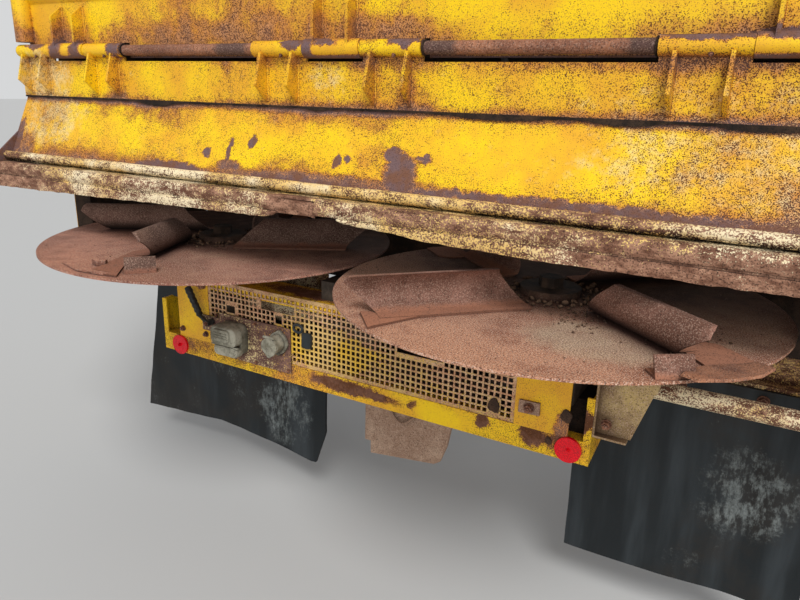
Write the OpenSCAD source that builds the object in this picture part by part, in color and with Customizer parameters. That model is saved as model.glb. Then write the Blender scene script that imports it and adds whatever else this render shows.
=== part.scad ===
// Rear spreading unit of a manure spreader: a steel housing with two milling beaters,
// two spreading discs under them, a hinged rear flap, and the lamp board, guard and
// mudflaps that hang from the chassis rails. Millimetres. +X is to the right as seen from
// behind, +Y is forward, +Z is up. The origin is the middle of the front face of the floor
// beam, where the unit bolts to the load body.

/* [Housing] */
// Width over the outer faces of the side walls
housing_w = 2360; // [2260:10:2400]
// Depth from the front bolting face to the rear face of the rear posts
housing_d = 930; // [910:10:960]
// How far the rear wall stands behind the rear posts
wall_stand = 54; // [40:2:70]
// Height of the roof's front edge above the origin
top_z = 1450; // [1420:10:1600]
// Fall of the roof from front to back
roof_fall = 120; // [80:5:160]
// Height of the lower edge of the side walls
wall_low_z = -150; // [-180:5:-120]
// Thickness of the side walls
wall_t = 5; // [4:1:8]
// Thickness of the roof sheet
roof_t = 5; // [3:1:8]
// Outer size of the square rear posts
post_w = 80; // [60:5:100]
// Wall of the posts and beams
tube_t = 6; // [4:1:10]
// Height of the floor beam and of its front face
beam_h = 160; // [140:10:180]
// Depth of the floor beam
beam_d = 120; // [100:10:140]
// Width of the front flange of a side wall
flange_w = 80; // [70:5:100]
// Thickness of the front flange
flange_t = 12; // [8:1:16]
// Radius of the flange's bolt holes
flange_hole_r = 9; // [7:0.5:12]
// Distance between the lower and the upper flange bolts
flange_bolts_h = 1200; // [900:50:1250]

/* [Hinge] */
// Diameter of the hinge shaft
shaft_d = 30; // [26:1:34]
// Distance of the shaft behind the rear wall's front face
shaft_back = 26; // [25:1:34]
// Height of the shaft
shaft_z = 465; // [430:5:500]
// Length of one knuckle
knuckle_l = 165; // [120:5:165]
// Outer diameter of the fixed knuckles
fixed_knuckle_d = 46; // [42:1:50]
// Outer diameter of the knuckles on the flap
flap_knuckle_d = 40; // [37:1:44]
// Radial running clearance in a knuckle
hinge_gap = 0.05; // [0.02:0.01:0.1]
// Gap between the ends of neighbouring knuckles
knuckle_gap = 1; // [0.5:0.5:3]
// Height of a gusset, from the shaft's centre
gusset_h = 132; // [110:2:140]
// Thickness of a gusset
gusset_t = 8; // [5:1:12]
// Half the distance between the two gussets of a knuckle
gusset_off = 50; // [40:1:55]
// How far a lower gusset stands out behind the shaft's centre
gusset_out = 45; // [38:1:52]
// Distance of the outer knuckles in from the flap's ends
hinge_end = 12; // [5:1:40]

/* [Flap] */
// How far the flap and the rear wall stand out past the side walls
flap_over = 82; // [60:2:84]
// Thickness of the flap's panel, skirt and rear wall
sheet_t = 6; // [4:1:8]
// Distance of the panel's face in front of the shaft's centre
panel_front = 2; // [1:1:8]
// Height of the overhanging lower edge of the panel above the disc plane
panel_low = 424; // [400:2:450]
// Height of the skirt's foot above the disc plane
skirt_low = 232; // [215:1:250]
// Distance of the skirt's foot behind the shaft's centre
skirt_back = 80; // [60:1:90]
// How far the lip stands out past the flap's ends
lip_over = 13; // [8:1:20]
// Height of the lip's lower edge above the disc plane
lip_low = 146; // [135:1:160]
// Distance of the lip's rear face behind the shaft's centre
lip_back = 138; // [120:1:150]

/* [Discs] */
// Diameter of a spreading disc
disc_d = 1080; // [900:10:1086]
// Gap between the rims of the two discs
disc_gap = 11; // [6:1:30]
// Distance of the disc centres behind the bolting face
disc_back = 856; // [840:2:870]
// Height of the top of the discs
disc_z = -100; // [-110:1:-90]
// Thickness of a disc
disc_t = 6; // [4:1:10]
// Height of a vane
vane_h = 88; // [60:2:92]
// Thickness of a vane
vane_t = 6; // [4:1:10]
// Width of the flat foot of a vane
vane_foot = 30; // [15:1:35]
// Height of the bent brackets at the rim
bracket_h = 40; // [25:1:50]
// Diameter of a disc's drive shaft
disc_shaft_d = 60; // [50:1:70]

/* [Beaters] */
// Distance of the beater shafts behind the bolting face
beater_back = 430; // [420:5:450]
// Height of the lower beater's shaft
beater_low_z = 380; // [370:5:400]
// Distance between the two beater shafts
beater_pitch = 640; // [620:5:660]
// Radius of the circle swept by the tines
tine_r = 300; // [270:5:305]
// Outer radius of the flights
flight_r = 245; // [200:5:250]
// Diameter of a beater's core tube
core_d = 220; // [160:5:260]
// Length of one turn of a flight
flight_pitch = 600; // [450:10:900]
// Thickness of a flight
flight_t = 8; // [6:1:12]
// Diameter of the beater shafts
beater_shaft_d = 60; // [50:1:70]
// Radial running clearance of all shafts
run_gap = 0.05; // [0.02:0.01:0.1]
// Thickness of the chain case
case_t = 72; // [50:2:74]

/* [Chassis] */
// Distance between the centres of the two rails
rail_pitch = 540; // [520:10:560]
// Width of a rail
rail_w = 80; // [60:5:90]
// Height of a rail
rail_h = 120; // [100:5:130]
// Height of the top of the rails
rail_z = -340; // [-350:5:-330]
// Radius of the bolt holes in a rail's end plate
rail_hole_r = 9; // [7:0.5:11]

/* [Lamp board and mudflaps] */
// Width of the lamp board over its end plates
board_w = 1424; // [1400:2:1440]
// Distance of the lamp board's face behind the bolting face
board_back = 980; // [978:1:990]
// Height of the lower rail of the lamp board
board_rail_h = 60; // [50:1:75]
// Rise of the end plates above the lower rail
end_rise = 115; // [90:5:130]
// Height of the board's lower edge
board_low_z = -475; // [-485:1:-465]
// Left edge of the perforated guard
guard_x0 = -504; // [-520:1:-490]
// Right edge of the perforated guard
guard_x1 = 520; // [500:1:540]
// Pitch of the square holes in the guard
mesh_pitch = 32; // [16:1:40]
// Width of one square hole
mesh_hole = 24; // [10:0.5:28]
// Diameter of a reflector
reflector_d = 65; // [50:1:80]
// Thickness of the mudflaps
mudflap_t = 10; // [6:1:14]
// Height of the lower edge of the mudflaps
mudflap_low_z = -940; // [-980:5:-880]
// Inner edge of the right mudflap
mudflap_right_x = 600; // [560:5:660]
// Inner edge of the left mudflap
mudflap_left_x = -320; // [-400:5:-320]
// Distance of the mudflaps' outer edges in from the flap's ends
mudflap_in = 40; // [20:1:60]

/* [Hidden] */

yellow = [0.90, 0.70, 0.10];
rust = [0.50, 0.33, 0.26];
black = [0.10, 0.10, 0.11];
grey = [0.45, 0.48, 0.45];

// Places that several pieces share
wall_x = housing_w / 2;
wall_in_x = wall_x - wall_t;
rear_y = -housing_d;
wall_y = rear_y - wall_stand;
wall_back_y = wall_y - sheet_t;
shaft_y = wall_y - shaft_back;
flap_x = wall_x + flap_over;
flap_w = 2 * flap_x;
hinge_pitch = flap_x - hinge_end - 1.5 * knuckle_l;
disc_x = (disc_d + disc_gap) / 2;
disc_y = -disc_back;
disc_r = disc_d / 2;
beater_y = -beater_back;
beater_top_z = beater_low_z + beater_pitch;
panel_y = shaft_y + panel_front;
panel_z = disc_z + panel_low;
rail_x = rail_pitch / 2;
rail_low_z = rail_z - rail_h;
board_y = -board_back;
board_x = board_w / 2;
rear_wall_low = shaft_z + 22;
post_low_z = wall_low_z + 20;
round_fn = 64;
touch = 0.3;

function roof_z(y) = top_z + y * roof_fall / housing_d;

// A bar along X with a profile drawn in Y and Z, centred on x = 0
module along_x(length) {
    rotate([90, 0, 90])
        translate([0, 0, -length / 2])
            linear_extrude(length)
                children();
}

// A box from its lowest to its highest corner
module box(low, high) {
    translate(low)
        cube(high - low);
}

// A round bar along X between two places
module rod_x(x0, x1, d, y, z) {
    translate([x0, y, z])
        rotate([0, 90, 0])
            cylinder(h = x1 - x0, d = d, $fn = round_fn);
}

// The piece for the right side, or its mirror image for the left
module on_side(side) {
    mirror([side < 0 ? 1 : 0, 0, 0])
        children();
}

// Load body interface and housing
module floor_beam() {
    color(yellow)
        difference() {
            box([-wall_in_x, -beam_d, -beam_h / 2], [wall_in_x, 0, beam_h / 2]);
            box([-wall_in_x - 1, tube_t - beam_d, tube_t - beam_h / 2],
                [wall_in_x + 1, -tube_t, beam_h / 2 - tube_t]);
        }
}

rib_y = [-140, rear_y + 130];
rib_w = 40;
rib_t = 30;
rib_low_z = 160;
wall_hole_r = 45;

// A side wall with its front flange and outer ribs
module side_wall(side) {
    flange_low_z = beam_h / 2;
    flange_x = wall_in_x - flange_w / 2;
    bolts_mid_z = flange_low_z + 90 + flange_bolts_h / 2;
    color(yellow)
        on_side(side)
            difference() {
                union() {
                    translate([wall_in_x, 0, 0])
                        rotate([90, 0, 90])
                            linear_extrude(wall_t)
                                polygon([[rear_y, post_low_z], [rear_y + 24, wall_low_z],
                                         [0, wall_low_z], [0, roof_z(0)], [rear_y, roof_z(rear_y)]]);
                    box([wall_in_x - flange_w, -flange_t, flange_low_z],
                        [wall_in_x + 1, 0, roof_z(-flange_t)]);
                    for (y = rib_y)
                        box([wall_x - 1, y, rib_low_z], [wall_x + rib_t, y + rib_w, roof_z(y) - 40]);
                }
                for (z = [bolts_mid_z - flange_bolts_h / 2, bolts_mid_z + flange_bolts_h / 2])
                    translate([flange_x, 1, z])
                        rotate([90, 0, 0])
                            cylinder(h = flange_t + 2, r = flange_hole_r, $fn = round_fn);
                for (z = [beater_low_z, beater_top_z])
                    rod_x(wall_in_x - 1, wall_x + 1, 2 * wall_hole_r, beater_y, z);
            }
}

// A rear post with the strip that joins it to the rear wall
module rear_post(side) {
    post_top = roof_z(rear_y) - touch;
    color(yellow)
        on_side(side) {
            difference() {
                box([wall_in_x - post_w, rear_y, post_low_z], [wall_in_x, rear_y + post_w, post_top]);
                box([wall_in_x - post_w + tube_t, rear_y + tube_t, post_low_z - 1],
                    [wall_in_x - tube_t, rear_y + post_w - tube_t, post_top + 1]);
            }
            box([wall_in_x - sheet_t, wall_y, rear_wall_low],
                [wall_in_x, rear_y + 1, roof_z(wall_back_y) - touch]);
        }
}

top_beam_y = -flange_t;
top_beam_h = 100;

module top_beam() {
    beam_top = roof_z(top_beam_y - top_beam_h) - touch;
    color(yellow)
        difference() {
            box([-wall_in_x, top_beam_y - top_beam_h, beam_top - top_beam_h],
                [wall_in_x, top_beam_y, beam_top]);
            box([-wall_in_x - 1, top_beam_y - top_beam_h + tube_t, beam_top - top_beam_h + tube_t],
                [wall_in_x + 1, top_beam_y - tube_t, beam_top - tube_t]);
        }
}

roof_back_y = wall_back_y - 34;

module roof() {
    back = roof_back_y;
    color(yellow)
        along_x(flap_w - 40)
            polygon([[back, roof_z(back)], [0, roof_z(0)], [0, roof_z(0) + roof_t],
                     [back - 2, roof_z(back) + roof_t], [back - 2, roof_z(back) - 30],
                     [back, roof_z(back) - 30]]);
}

// Outline of a gusset that stands on the rear wall, from the shaft's centre, seen along X
module upper_gusset() {
    outer = 2.5 - fixed_knuckle_d / 2;
    face = shaft_back - sheet_t + 1;
    polygon([[outer, 0], [outer, 0.75 * gusset_h], [face, gusset_h], [face, 0]]);
}

// Outline of a gusset that hangs on the flap's panel, from the shaft's centre, seen along X
module lower_gusset() {
    face = panel_front + 1;
    polygon([[-2 - flap_knuckle_d / 2, -9], [-gusset_out, -0.67 * gusset_h], [face, -gusset_h], [face, -9]]);
}

// One knuckle with its two gussets, its bore left open
module knuckle(x, d) {
    difference() {
        union() {
            rod_x(x - knuckle_l / 2 + knuckle_gap / 2, x + knuckle_l / 2 - knuckle_gap / 2, d,
                  shaft_y, shaft_z);
            for (side = [-1, 1])
                translate([x + side * gusset_off, shaft_y, shaft_z])
                    along_x(gusset_t)
                        children();
        }
        rod_x(x - knuckle_l, x + knuckle_l, shaft_d + 2 * hinge_gap, shaft_y, shaft_z);
    }
}

column_r = 30;
column_y = wall_y - 18;
column_low = rear_wall_low + 5;
apron_x = [1.5 * knuckle_l + 6, hinge_pitch - 1.5 * knuckle_l - 6];
apron_low = shaft_z - 20;

// The rear wall above the shaft: rounded edges, folds, fixed knuckles, and aprons between them
module rear_wall() {
    wall_top = roof_z(wall_back_y) - touch;
    fold_z = shaft_z + gusset_h + 22;
    color(yellow) {
        box([-flap_x + column_r, wall_back_y, rear_wall_low], [flap_x - column_r, wall_y, wall_top]);
        for (side = [-1, 1])
            on_side(side) {
                translate([flap_x - column_r, column_y, column_low])
                    cylinder(h = roof_z(roof_back_y) - 31 - column_low, r = column_r, $fn = round_fn);
                box([apron_x[0], wall_back_y, apron_low], [apron_x[1], wall_y, rear_wall_low + 1]);
            }
        for (z = [fold_z, (fold_z + wall_top) / 2, wall_top - 60])
            translate([0, wall_back_y, z])
                along_x(flap_w - 2 * column_r)
                    polygon([[1, -14], [1, 34], [-14, 26], [-14, 4]]);
        for (x = [-hinge_pitch, 0, hinge_pitch])
            knuckle(x, fixed_knuckle_d) upper_gusset();
    }
}

// The hinge shaft with the washers that hold the outer knuckles
module hinge_shaft() {
    group = 1.5 * knuckle_l;
    shaft_end = hinge_pitch + group + 3.5;
    color(rust) {
        rod_x(-shaft_end, shaft_end, shaft_d, shaft_y, shaft_z);
        for (side = [-1, 1])
            on_side(side)
                rod_x(hinge_pitch + group + 0.5, shaft_end, flap_knuckle_d - 3, shaft_y, shaft_z);
    }
}

drop_t = 5;
drop_low = [disc_y + disc_r - 55, disc_z + vane_h + 18];
drop_high = [-beam_d, beam_h / 2 - 50];

// Sheet that leads the muck from the floor onto the discs
module drop_plate() {
    color(rust)
        along_x(2 * wall_in_x - 2 * touch)
            polygon([drop_high, drop_low, drop_low + [0, drop_t], drop_high + [0, drop_t]]);
}

shield_y = disc_y + disc_r + 16;
shield_t = 4;
shield_hole_r = 32;

// Cross wall in front of the discs, from the rails up to the drop plate
module front_shield() {
    slope = (drop_low[1] - drop_high[1]) / (drop_low[0] - drop_high[0]);
    high = drop_high[1] + (shield_y - drop_high[0]) * slope - touch;
    color(rust)
        difference() {
            box([-wall_in_x, shield_y, rail_z], [wall_in_x, shield_y + shield_t, high]);
            translate([0, shield_y + shield_t + 1, drive_z])
                rotate([90, 0, 0])
                    cylinder(h = shield_t + 2, r = shield_hole_r, $fn = round_fn);
        }
}

module bearings() {
    plate = 150;
    plate_t = 16;
    boss_t = 45;
    color(grey)
        for (z = [beater_low_z, beater_top_z])
            difference() {
                union() {
                    box([-wall_x - plate_t, beater_y - plate / 2, z - plate / 2],
                        [-wall_x, beater_y + plate / 2, z + plate / 2]);
                    rod_x(-wall_x - boss_t, -wall_x - 1, 110, beater_y, z);
                }
                rod_x(-wall_x - boss_t - 1, -wall_x + 1, beater_shaft_d + 2 * run_gap, beater_y, z);
            }
}

drive_z = rail_z + 46;
case_r = 105;
case_foot_r = 80;

// Closed case of the chain that drives the beaters from the cross shaft
module chain_case() {
    color(yellow)
        difference() {
            translate([wall_x, 0, 0])
                rotate([90, 0, 90])
                    linear_extrude(case_t)
                        union() {
                            hull() {
                                translate([beater_y, beater_top_z]) circle(r = case_r, $fn = 32);
                                translate([beater_y, beater_low_z]) circle(r = case_r, $fn = 32);
                            }
                            hull() {
                                translate([beater_y, beater_low_z]) circle(r = case_r, $fn = 32);
                                translate([disc_y, drive_z]) circle(r = case_foot_r, $fn = 32);
                            }
                        }
            for (z = [beater_low_z, beater_top_z])
                rod_x(wall_x - 1, wall_x + case_t - 8, beater_shaft_d + 2 * run_gap, beater_y, z);
        }
}

// Chassis rail with its end plate and the upright that carries the floor beam
module rail(side) {
    plate_t = 15;
    plate_w = rail_w + 80;
    plate_h = rail_h + 80;
    color(yellow)
        on_side(side)
            difference() {
                union() {
                    difference() {
                        box([rail_x - rail_w / 2, disc_y + 50, rail_low_z], [rail_x + rail_w / 2, 0, rail_z]);
                        box([rail_x - rail_w / 2 + tube_t, disc_y + 49, rail_low_z + tube_t],
                            [rail_x + rail_w / 2 - tube_t, -plate_t, rail_z - tube_t]);
                    }
                    box([rail_x - plate_w / 2, -plate_t, rail_z - rail_h / 2 - plate_h / 2],
                        [rail_x + plate_w / 2, 0, rail_z - rail_h / 2 + plate_h / 2]);
                    box([rail_x - rail_w / 2, -beam_d + 10, rail_z - 1],
                        [rail_x + rail_w / 2, -20, -beam_h / 2]);
                }
                for (dx = [-1, 1], dz = [-1, 1])
                    translate([rail_x + dx * 60, 1, rail_z - rail_h / 2 + dz * 80])
                        rotate([90, 0, 0])
                            cylinder(h = plate_t + 2, r = rail_hole_r, $fn = round_fn);
            }
}

cross_y = -560;
cross_w = 80;

module cross_member() {
    low = rail_low_z + 10;
    color(yellow)
        difference() {
            box([-rail_x + rail_w / 2, cross_y, low], [rail_x - rail_w / 2, cross_y + cross_w, rail_z - 10]);
            box([-rail_x, cross_y + tube_t, low + tube_t],
                [rail_x, cross_y + cross_w - tube_t, rail_z - 10 - tube_t]);
        }
}

// Drop plate below the cross member, with a notched edge and clipped corners
module tow_bracket() {
    edge_x = 172;
    cheek_x = 140;
    plate_t = 12;
    low = -880;
    high = rail_low_z + 10;
    color(rust) {
        translate([0, cross_y, 0])
            rotate([90, 0, 0])
                linear_extrude(plate_t)
                    polygon([[-edge_x, high], [-edge_x, low + 28], [-edge_x + 24, low + 28],
                             [-edge_x + 25, low - 21], [edge_x - 61, low + 13], [edge_x - 38, low + 28],
                             [edge_x - 16, low + 90], [edge_x - 1, low + 172], [edge_x, high]]);
        for (x = [-cheek_x, cheek_x - 12])
            translate([x, 0, 0])
                rotate([90, 0, 90])
                    linear_extrude(12)
                        polygon([[cross_y - 1, high], [cross_y - 1, low + 110], [cross_y + 20, low + 110],
                                 [cross_y + cross_w, high - 90], [cross_y + cross_w, high]]);
    }
}

deck_y = disc_y;
deck_d = 100;

module deck_beam() {
    half = board_x - 6;
    color(yellow)
        difference() {
            box([-half, deck_y - deck_d / 2, rail_low_z], [half, deck_y + deck_d / 2, rail_z]);
            box([-half - 1, deck_y - deck_d / 2 + tube_t, rail_low_z + tube_t],
                [half + 1, deck_y + deck_d / 2 - tube_t, rail_z - tube_t]);
        }
}

box_half_w = min(110, board_x - disc_x - 20);
box_half_d = 100;
box_top_z = disc_z - 50;
neck_top_z = disc_z - disc_t - 12;

module gearbox(side) {
    color(grey)
        translate([side * disc_x, disc_y, 0])
            difference() {
                union() {
                    box([-box_half_w, -box_half_d, rail_z], [box_half_w, box_half_d, box_top_z]);
                    translate([0, 0, box_top_z - 1])
                        cylinder(h = neck_top_z - box_top_z + 1, d = 140, $fn = round_fn);
                }
                translate([0, 0, rail_z + 30])
                    cylinder(h = neck_top_z - rail_z, d = disc_shaft_d + 2 * run_gap, $fn = round_fn);
            }
}

centre_half_w = 90;
centre_half_d = 90;

module centre_gearbox() {
    color(grey)
        box([-centre_half_w, disc_y - centre_half_d, rail_z],
            [centre_half_w, disc_y + centre_half_d, box_top_z]);
}

module cross_shafts() {
    shaft = 45;
    coupling = 84;
    coupling_l = 90;
    inner = [centre_half_w, disc_x - box_half_w];
    inner_mid = (inner[0] + inner[1]) / 2;
    outer = [disc_x + box_half_w, wall_x];
    outer_mid = outer[0] + 60 + coupling_l / 2;
    color(rust) {
        for (side = [-1, 1])
            on_side(side) {
                rod_x(inner[0], inner[1], shaft, disc_y, drive_z);
                rod_x(inner_mid - coupling_l / 2, inner_mid + coupling_l / 2, coupling, disc_y, drive_z);
            }
        rod_x(outer[0], outer[1], shaft, disc_y, drive_z);
        rod_x(outer_mid - coupling_l / 2, outer_mid + coupling_l / 2, coupling, disc_y, drive_z);
    }
}

input_d = 34.9;
stub_l = 80;
stub_y = -40;

module input_shaft() {
    color(rust) {
        translate([0, stub_y, drive_z])
            rotate([90, 0, 0])
                cylinder(h = stub_l + 1, d = input_d, $fn = round_fn);
        translate([0, stub_y - stub_l, drive_z])
            rotate([90, 0, 0])
                cylinder(h = disc_back - centre_half_d + stub_y - stub_l, d = 45, $fn = round_fn);
        translate([0, disc_y + centre_half_d + 60, drive_z])
            rotate([90, 0, 0])
                cylinder(h = 60, d = 90, $fn = round_fn);
    }
}

board_flange = 40;
board_t = 5;
end_plate_t = 6;

// Lower rail of the lamp board, folded from sheet, with its flanged end plates
module lamp_board() {
    low = board_low_z;
    high = board_low_z + board_rail_h;
    end_high = high + end_rise;
    end_d = 170;
    end_flange = 18;
    color(yellow) {
        along_x(board_w - 2 * end_plate_t)
            polygon([[board_y, low], [board_y, high], [board_y + board_flange, high],
                     [board_y + board_flange, high - board_t], [board_y + board_t, high - board_t],
                     [board_y + board_t, low + board_t], [board_y + board_flange, low + board_t],
                     [board_y + board_flange, low]]);
        for (side = [-1, 1])
            on_side(side) {
                translate([board_x - end_plate_t, 0, 0])
                    rotate([90, 0, 90])
                        linear_extrude(end_plate_t)
                            polygon([[board_y, low], [board_y + end_d - 20, low + 20],
                                     [board_y + end_d, low + 60], [board_y + end_d, high + 40],
                                     [board_y + 40, end_high], [board_y, end_high]]);
                box([board_x - end_flange, board_y, high - 1], [board_x - 1, board_y + board_t, end_high]);
            }
    }
}

guard_low = board_low_z + board_rail_h;
guard_high = box_top_z - 55;

// Cover plate from the guard's top edge forward, cut out round the three gearboxes
module guard_top_rail() {
    front_y = disc_y - 14;
    half = board_x - 60;
    sheet = 5;
    fold_h = 32;
    color(yellow)
        difference() {
            union() {
                box([-half, board_y + 5, guard_high - sheet], [half, front_y, guard_high]);
                box([-half, board_y + 5, guard_high - fold_h], [half, board_y + 5 + sheet, guard_high]);
            }
            for (side = [-1, 1])
                on_side(side)
                    box([disc_x - box_half_w, disc_y - box_half_d, guard_high - fold_h - 1],
                        [disc_x + box_half_w, front_y + 1, guard_high + 1]);
            box([-centre_half_w, disc_y - centre_half_d, guard_high - fold_h - 1],
                [centre_half_w, front_y + 1, guard_high + 1]);
        }
}

panel_x = [[74 - board_x, guard_x0], [guard_x1, board_x - 56]];

module lamp_panels() {
    color(yellow)
        for (x = panel_x)
            box([x[0], board_y, guard_low], [x[1], board_y + 5, guard_high + 4]);
}

// Perforated guard sheet with square holes
module guard_mesh() {
    sheet = 3;
    columns = floor((guard_x1 - guard_x0 - 8) / mesh_pitch);
    rows = floor((guard_high - guard_low - 6) / mesh_pitch);
    x0 = (guard_x0 + guard_x1) / 2 - columns * mesh_pitch / 2 + mesh_pitch / 2;
    z0 = (guard_low + guard_high) / 2 - rows * mesh_pitch / 2 + mesh_pitch / 2;
    color(yellow)
        translate([0, board_y + 5, 0])
            rotate([90, 0, 0])
                linear_extrude(sheet)
                    difference() {
                        translate([guard_x0, guard_low])
                            square([guard_x1 - guard_x0, guard_high - guard_low]);
                        for (i = [0:columns - 1], j = [0:rows - 1])
                            translate([x0 + i * mesh_pitch, z0 + j * mesh_pitch])
                                square(mesh_hole, center = true);
                    }
}

socket_y = board_y - 4;

// Plate of the two sockets, with a tab on the left panel that carries the lever
module socket_plate() {
    color(rust) {
        box([guard_x0 + 49, socket_y, guard_low - 30], [guard_x0 + 327, board_y, guard_low + 112]);
        box([guard_x0 - 26, socket_y, guard_low + 43], [guard_x0 + 50, board_y, guard_low + 93]);
    }
}

// A block with rounded corners whose rear face stands at y, its thickness towards the board
module rounded_block(w, h, t, r, y) {
    translate([0, y + t, 0])
        rotate([90, 0, 0])
            linear_extrude(t)
                offset(r = r, $fn = 32)
                    square([w - 2 * r, h - 2 * r], center = true);
}

// Square trailer socket with a hinged lid that laps over its body
module socket_large() {
    body_y = socket_y - 30;
    lid_y = body_y - 24;
    color(grey)
        translate([guard_x0 + 114, 0, guard_low + 44]) {
            rounded_block(122, 100, 30, 14, body_y);
            rounded_block(134, 108, 25, 26, lid_y);
            rounded_block(84, 62, 13, 16, lid_y - 12);
            rod_x(-40, 40, 16, body_y - 6, 54);
        }
}

// Round trailer socket with a hinged lid
module socket_small() {
    x = guard_x0 + 287;
    z = guard_low + 63;
    body_h = 34;
    color(grey) {
        translate([x, socket_y, z])
            rotate([90, 0, 0])
                cylinder(h = body_h, r = 36, $fn = round_fn);
        translate([x, socket_y - body_h + 1, z])
            rotate([90, 0, 0])
                cylinder(h = 14, r = 42, $fn = round_fn);
        rod_x(x - 20, x + 20, 14, socket_y - body_h, z + 40);
    }
}

// A round bar between two points
module rod_between(a, b, d) {
    run = b - a;
    length = norm(run);
    translate(a)
        rotate([0, acos(run[2] / length), atan2(run[1], run[0])])
            cylinder(h = length, d = d, $fn = 32);
}

// Control lever with a rubber grip, pivoted on the socket plate's tab
module lever() {
    y = board_y - 25;
    foot = [guard_x0 + 18, y, guard_low + 77];
    neck = [guard_x0 - 12, y, guard_low + 96];
    tip = [guard_x0 - 61, y, guard_low + 184];
    color(black) {
        translate([foot[0], socket_y, foot[2]])
            rotate([90, 0, 0])
                cylinder(h = 29, d = 20, $fn = round_fn);
        rod_between(foot, neck, 13);
        rod_between(neck, tip, 24);
    }
}

reflector_at = [[75 - board_x, board_low_z + 28], [board_x - 50, board_low_z + 32]];

module reflectors() {
    color("red")
        for (p = reflector_at)
            translate([p[0], board_y, p[1]])
                rotate([90, 0, 0])
                    cylinder(h = 8, d = reflector_d, $fn = round_fn);
}

// Trapezoid tray at the right end of the lamp board, its edges folded rearward
module tail_plate() {
    low = guard_low + 19;
    high = disc_z - 118;
    back = board_y + 2;
    fold = 20;
    sheet = 5;
    foot_w = 84;
    head_w = 128;
    color(yellow) {
        translate([board_x, back + fold + sheet, 0])
            rotate([90, 0, 0])
                linear_extrude(sheet)
                    polygon([[0, low], [foot_w, low + 6], [head_w - 8, high - 55], [head_w - 8, high - 50],
                             [head_w, high - 45], [head_w + 8, high], [0, high]]);
        box([board_x, back, low], [board_x + sheet, back + fold + 1, high]);
        box([board_x, back, low], [board_x + foot_w - 6, back + fold + 1, low + sheet]);
    }
}

flap_bar_y = -650;
flap_bar_d = 50;
flap_bar_h = 34;
flap_bar_web = 68;
flap_bar_t = 6;
flap_bar_low = rail_z - 2;

// Stepped bars that carry the mudflaps: a rear lip, a shelf and an upright web
module mudflap_bars() {
    x0 = rail_x + rail_w / 2;
    x1 = flap_x - 24;
    lip_top = flap_bar_low + flap_bar_h;
    web_y = flap_bar_y + flap_bar_d;
    color(yellow)
        for (side = [-1, 1])
            on_side(side)
                translate([(x0 + x1) / 2, 0, 0])
                    along_x(x1 - x0)
                        polygon([[flap_bar_y, flap_bar_low], [flap_bar_y + flap_bar_t, flap_bar_low],
                                 [flap_bar_y + flap_bar_t, lip_top - flap_bar_t],
                                 [web_y, lip_top - flap_bar_t], [web_y, lip_top + flap_bar_web],
                                 [web_y - flap_bar_t, lip_top + flap_bar_web],
                                 [web_y - flap_bar_t, lip_top], [flap_bar_y, lip_top]]);
}

mudflap_top = flap_bar_low + flap_bar_h - 10;
mudflap_out_x = flap_x - mudflap_in;

// A mudflap with its outline drawn in X and Z
module mudflap(outline) {
    color(black)
        translate([0, flap_bar_y, 0])
            rotate([90, 0, 0])
                linear_extrude(mudflap_t)
                    polygon(outline);
}

// The left mudflap hangs askew and its worn foot is uneven
module mudflap_left() {
    x0 = -mudflap_out_x;
    x1 = mudflap_left_x;
    low = mudflap_low_z;
    mudflap([[x0 + 130, mudflap_top], [x0 + 7, low - 5], [-797, low + 31], [x1 - 10, low + 6],
             [x1 + 13, low + 9], [x1 + 50, low + 131], [x1 + 38, low + 255], [x1 + 36, rail_low_z - 40],
             [x1, rail_low_z - 20], [x1, mudflap_top]]);
}

module mudflap_right() {
    x0 = mudflap_right_x;
    x1 = mudflap_out_x;
    low = mudflap_low_z;
    mudflap([[x0, mudflap_top], [x0 + 6, low + 4], [x1 - 180, low + 12], [x1 + 4, low], [x1, mudflap_top]]);
}

// The moving flap
module flap_panel() {
    top = shaft_z - 30;
    back = panel_y + sheet_t;
    color(yellow) {
        box([-flap_x, panel_y, panel_z], [flap_x, back, top]);
        for (x = [-hinge_pitch, 0, hinge_pitch], side = [-1, 1])
            translate([x + side * knuckle_l, 0, 0]) {
                knuckle(0, flap_knuckle_d) lower_gusset();
                box([1 - knuckle_l / 2, panel_y, top - 1],
                    [knuckle_l / 2 - 1, back, shaft_z - shaft_d / 2 - 1.5]);
            }
    }
}

skirt_t = 5;
foot_y = shaft_y - skirt_back;
foot_z = disc_z + skirt_low;
shelf_z = foot_z - 14;
lip_face_y = shaft_y - lip_back;

module skirt() {
    back = panel_y + sheet_t;
    lap_z = panel_z + 45;
    mid_y = shaft_y - 24;
    mid_z = panel_z - 72;
    end_h = 82;
    end_y = foot_y + end_h * (mid_y - foot_y) / (mid_z - foot_z) + 1.5;
    color(yellow) {
        along_x(flap_w)
            polygon([[back, lap_z], [back, panel_z - touch], [back - 4, panel_z - 12],
                     [mid_y, mid_z], [foot_y, foot_z],
                     [foot_y + skirt_t, foot_z], [mid_y + skirt_t, mid_z + 2],
                     [back + 3, panel_z - 8], [back + skirt_t, panel_z], [back + skirt_t, lap_z]]);
        for (side = [-1, 1])
            on_side(side)
                translate([flap_x - 6, 0, 0])
                    rotate([90, 0, 90])
                        linear_extrude(6)
                            polygon([[end_y, foot_z + end_h], [lip_face_y, foot_z + 2],
                                     [lip_face_y, shelf_z + touch], [foot_y - 1, shelf_z + touch],
                                     [foot_y - 1, foot_z], [foot_y + 4, foot_z + 3]]);
    }
}

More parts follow.
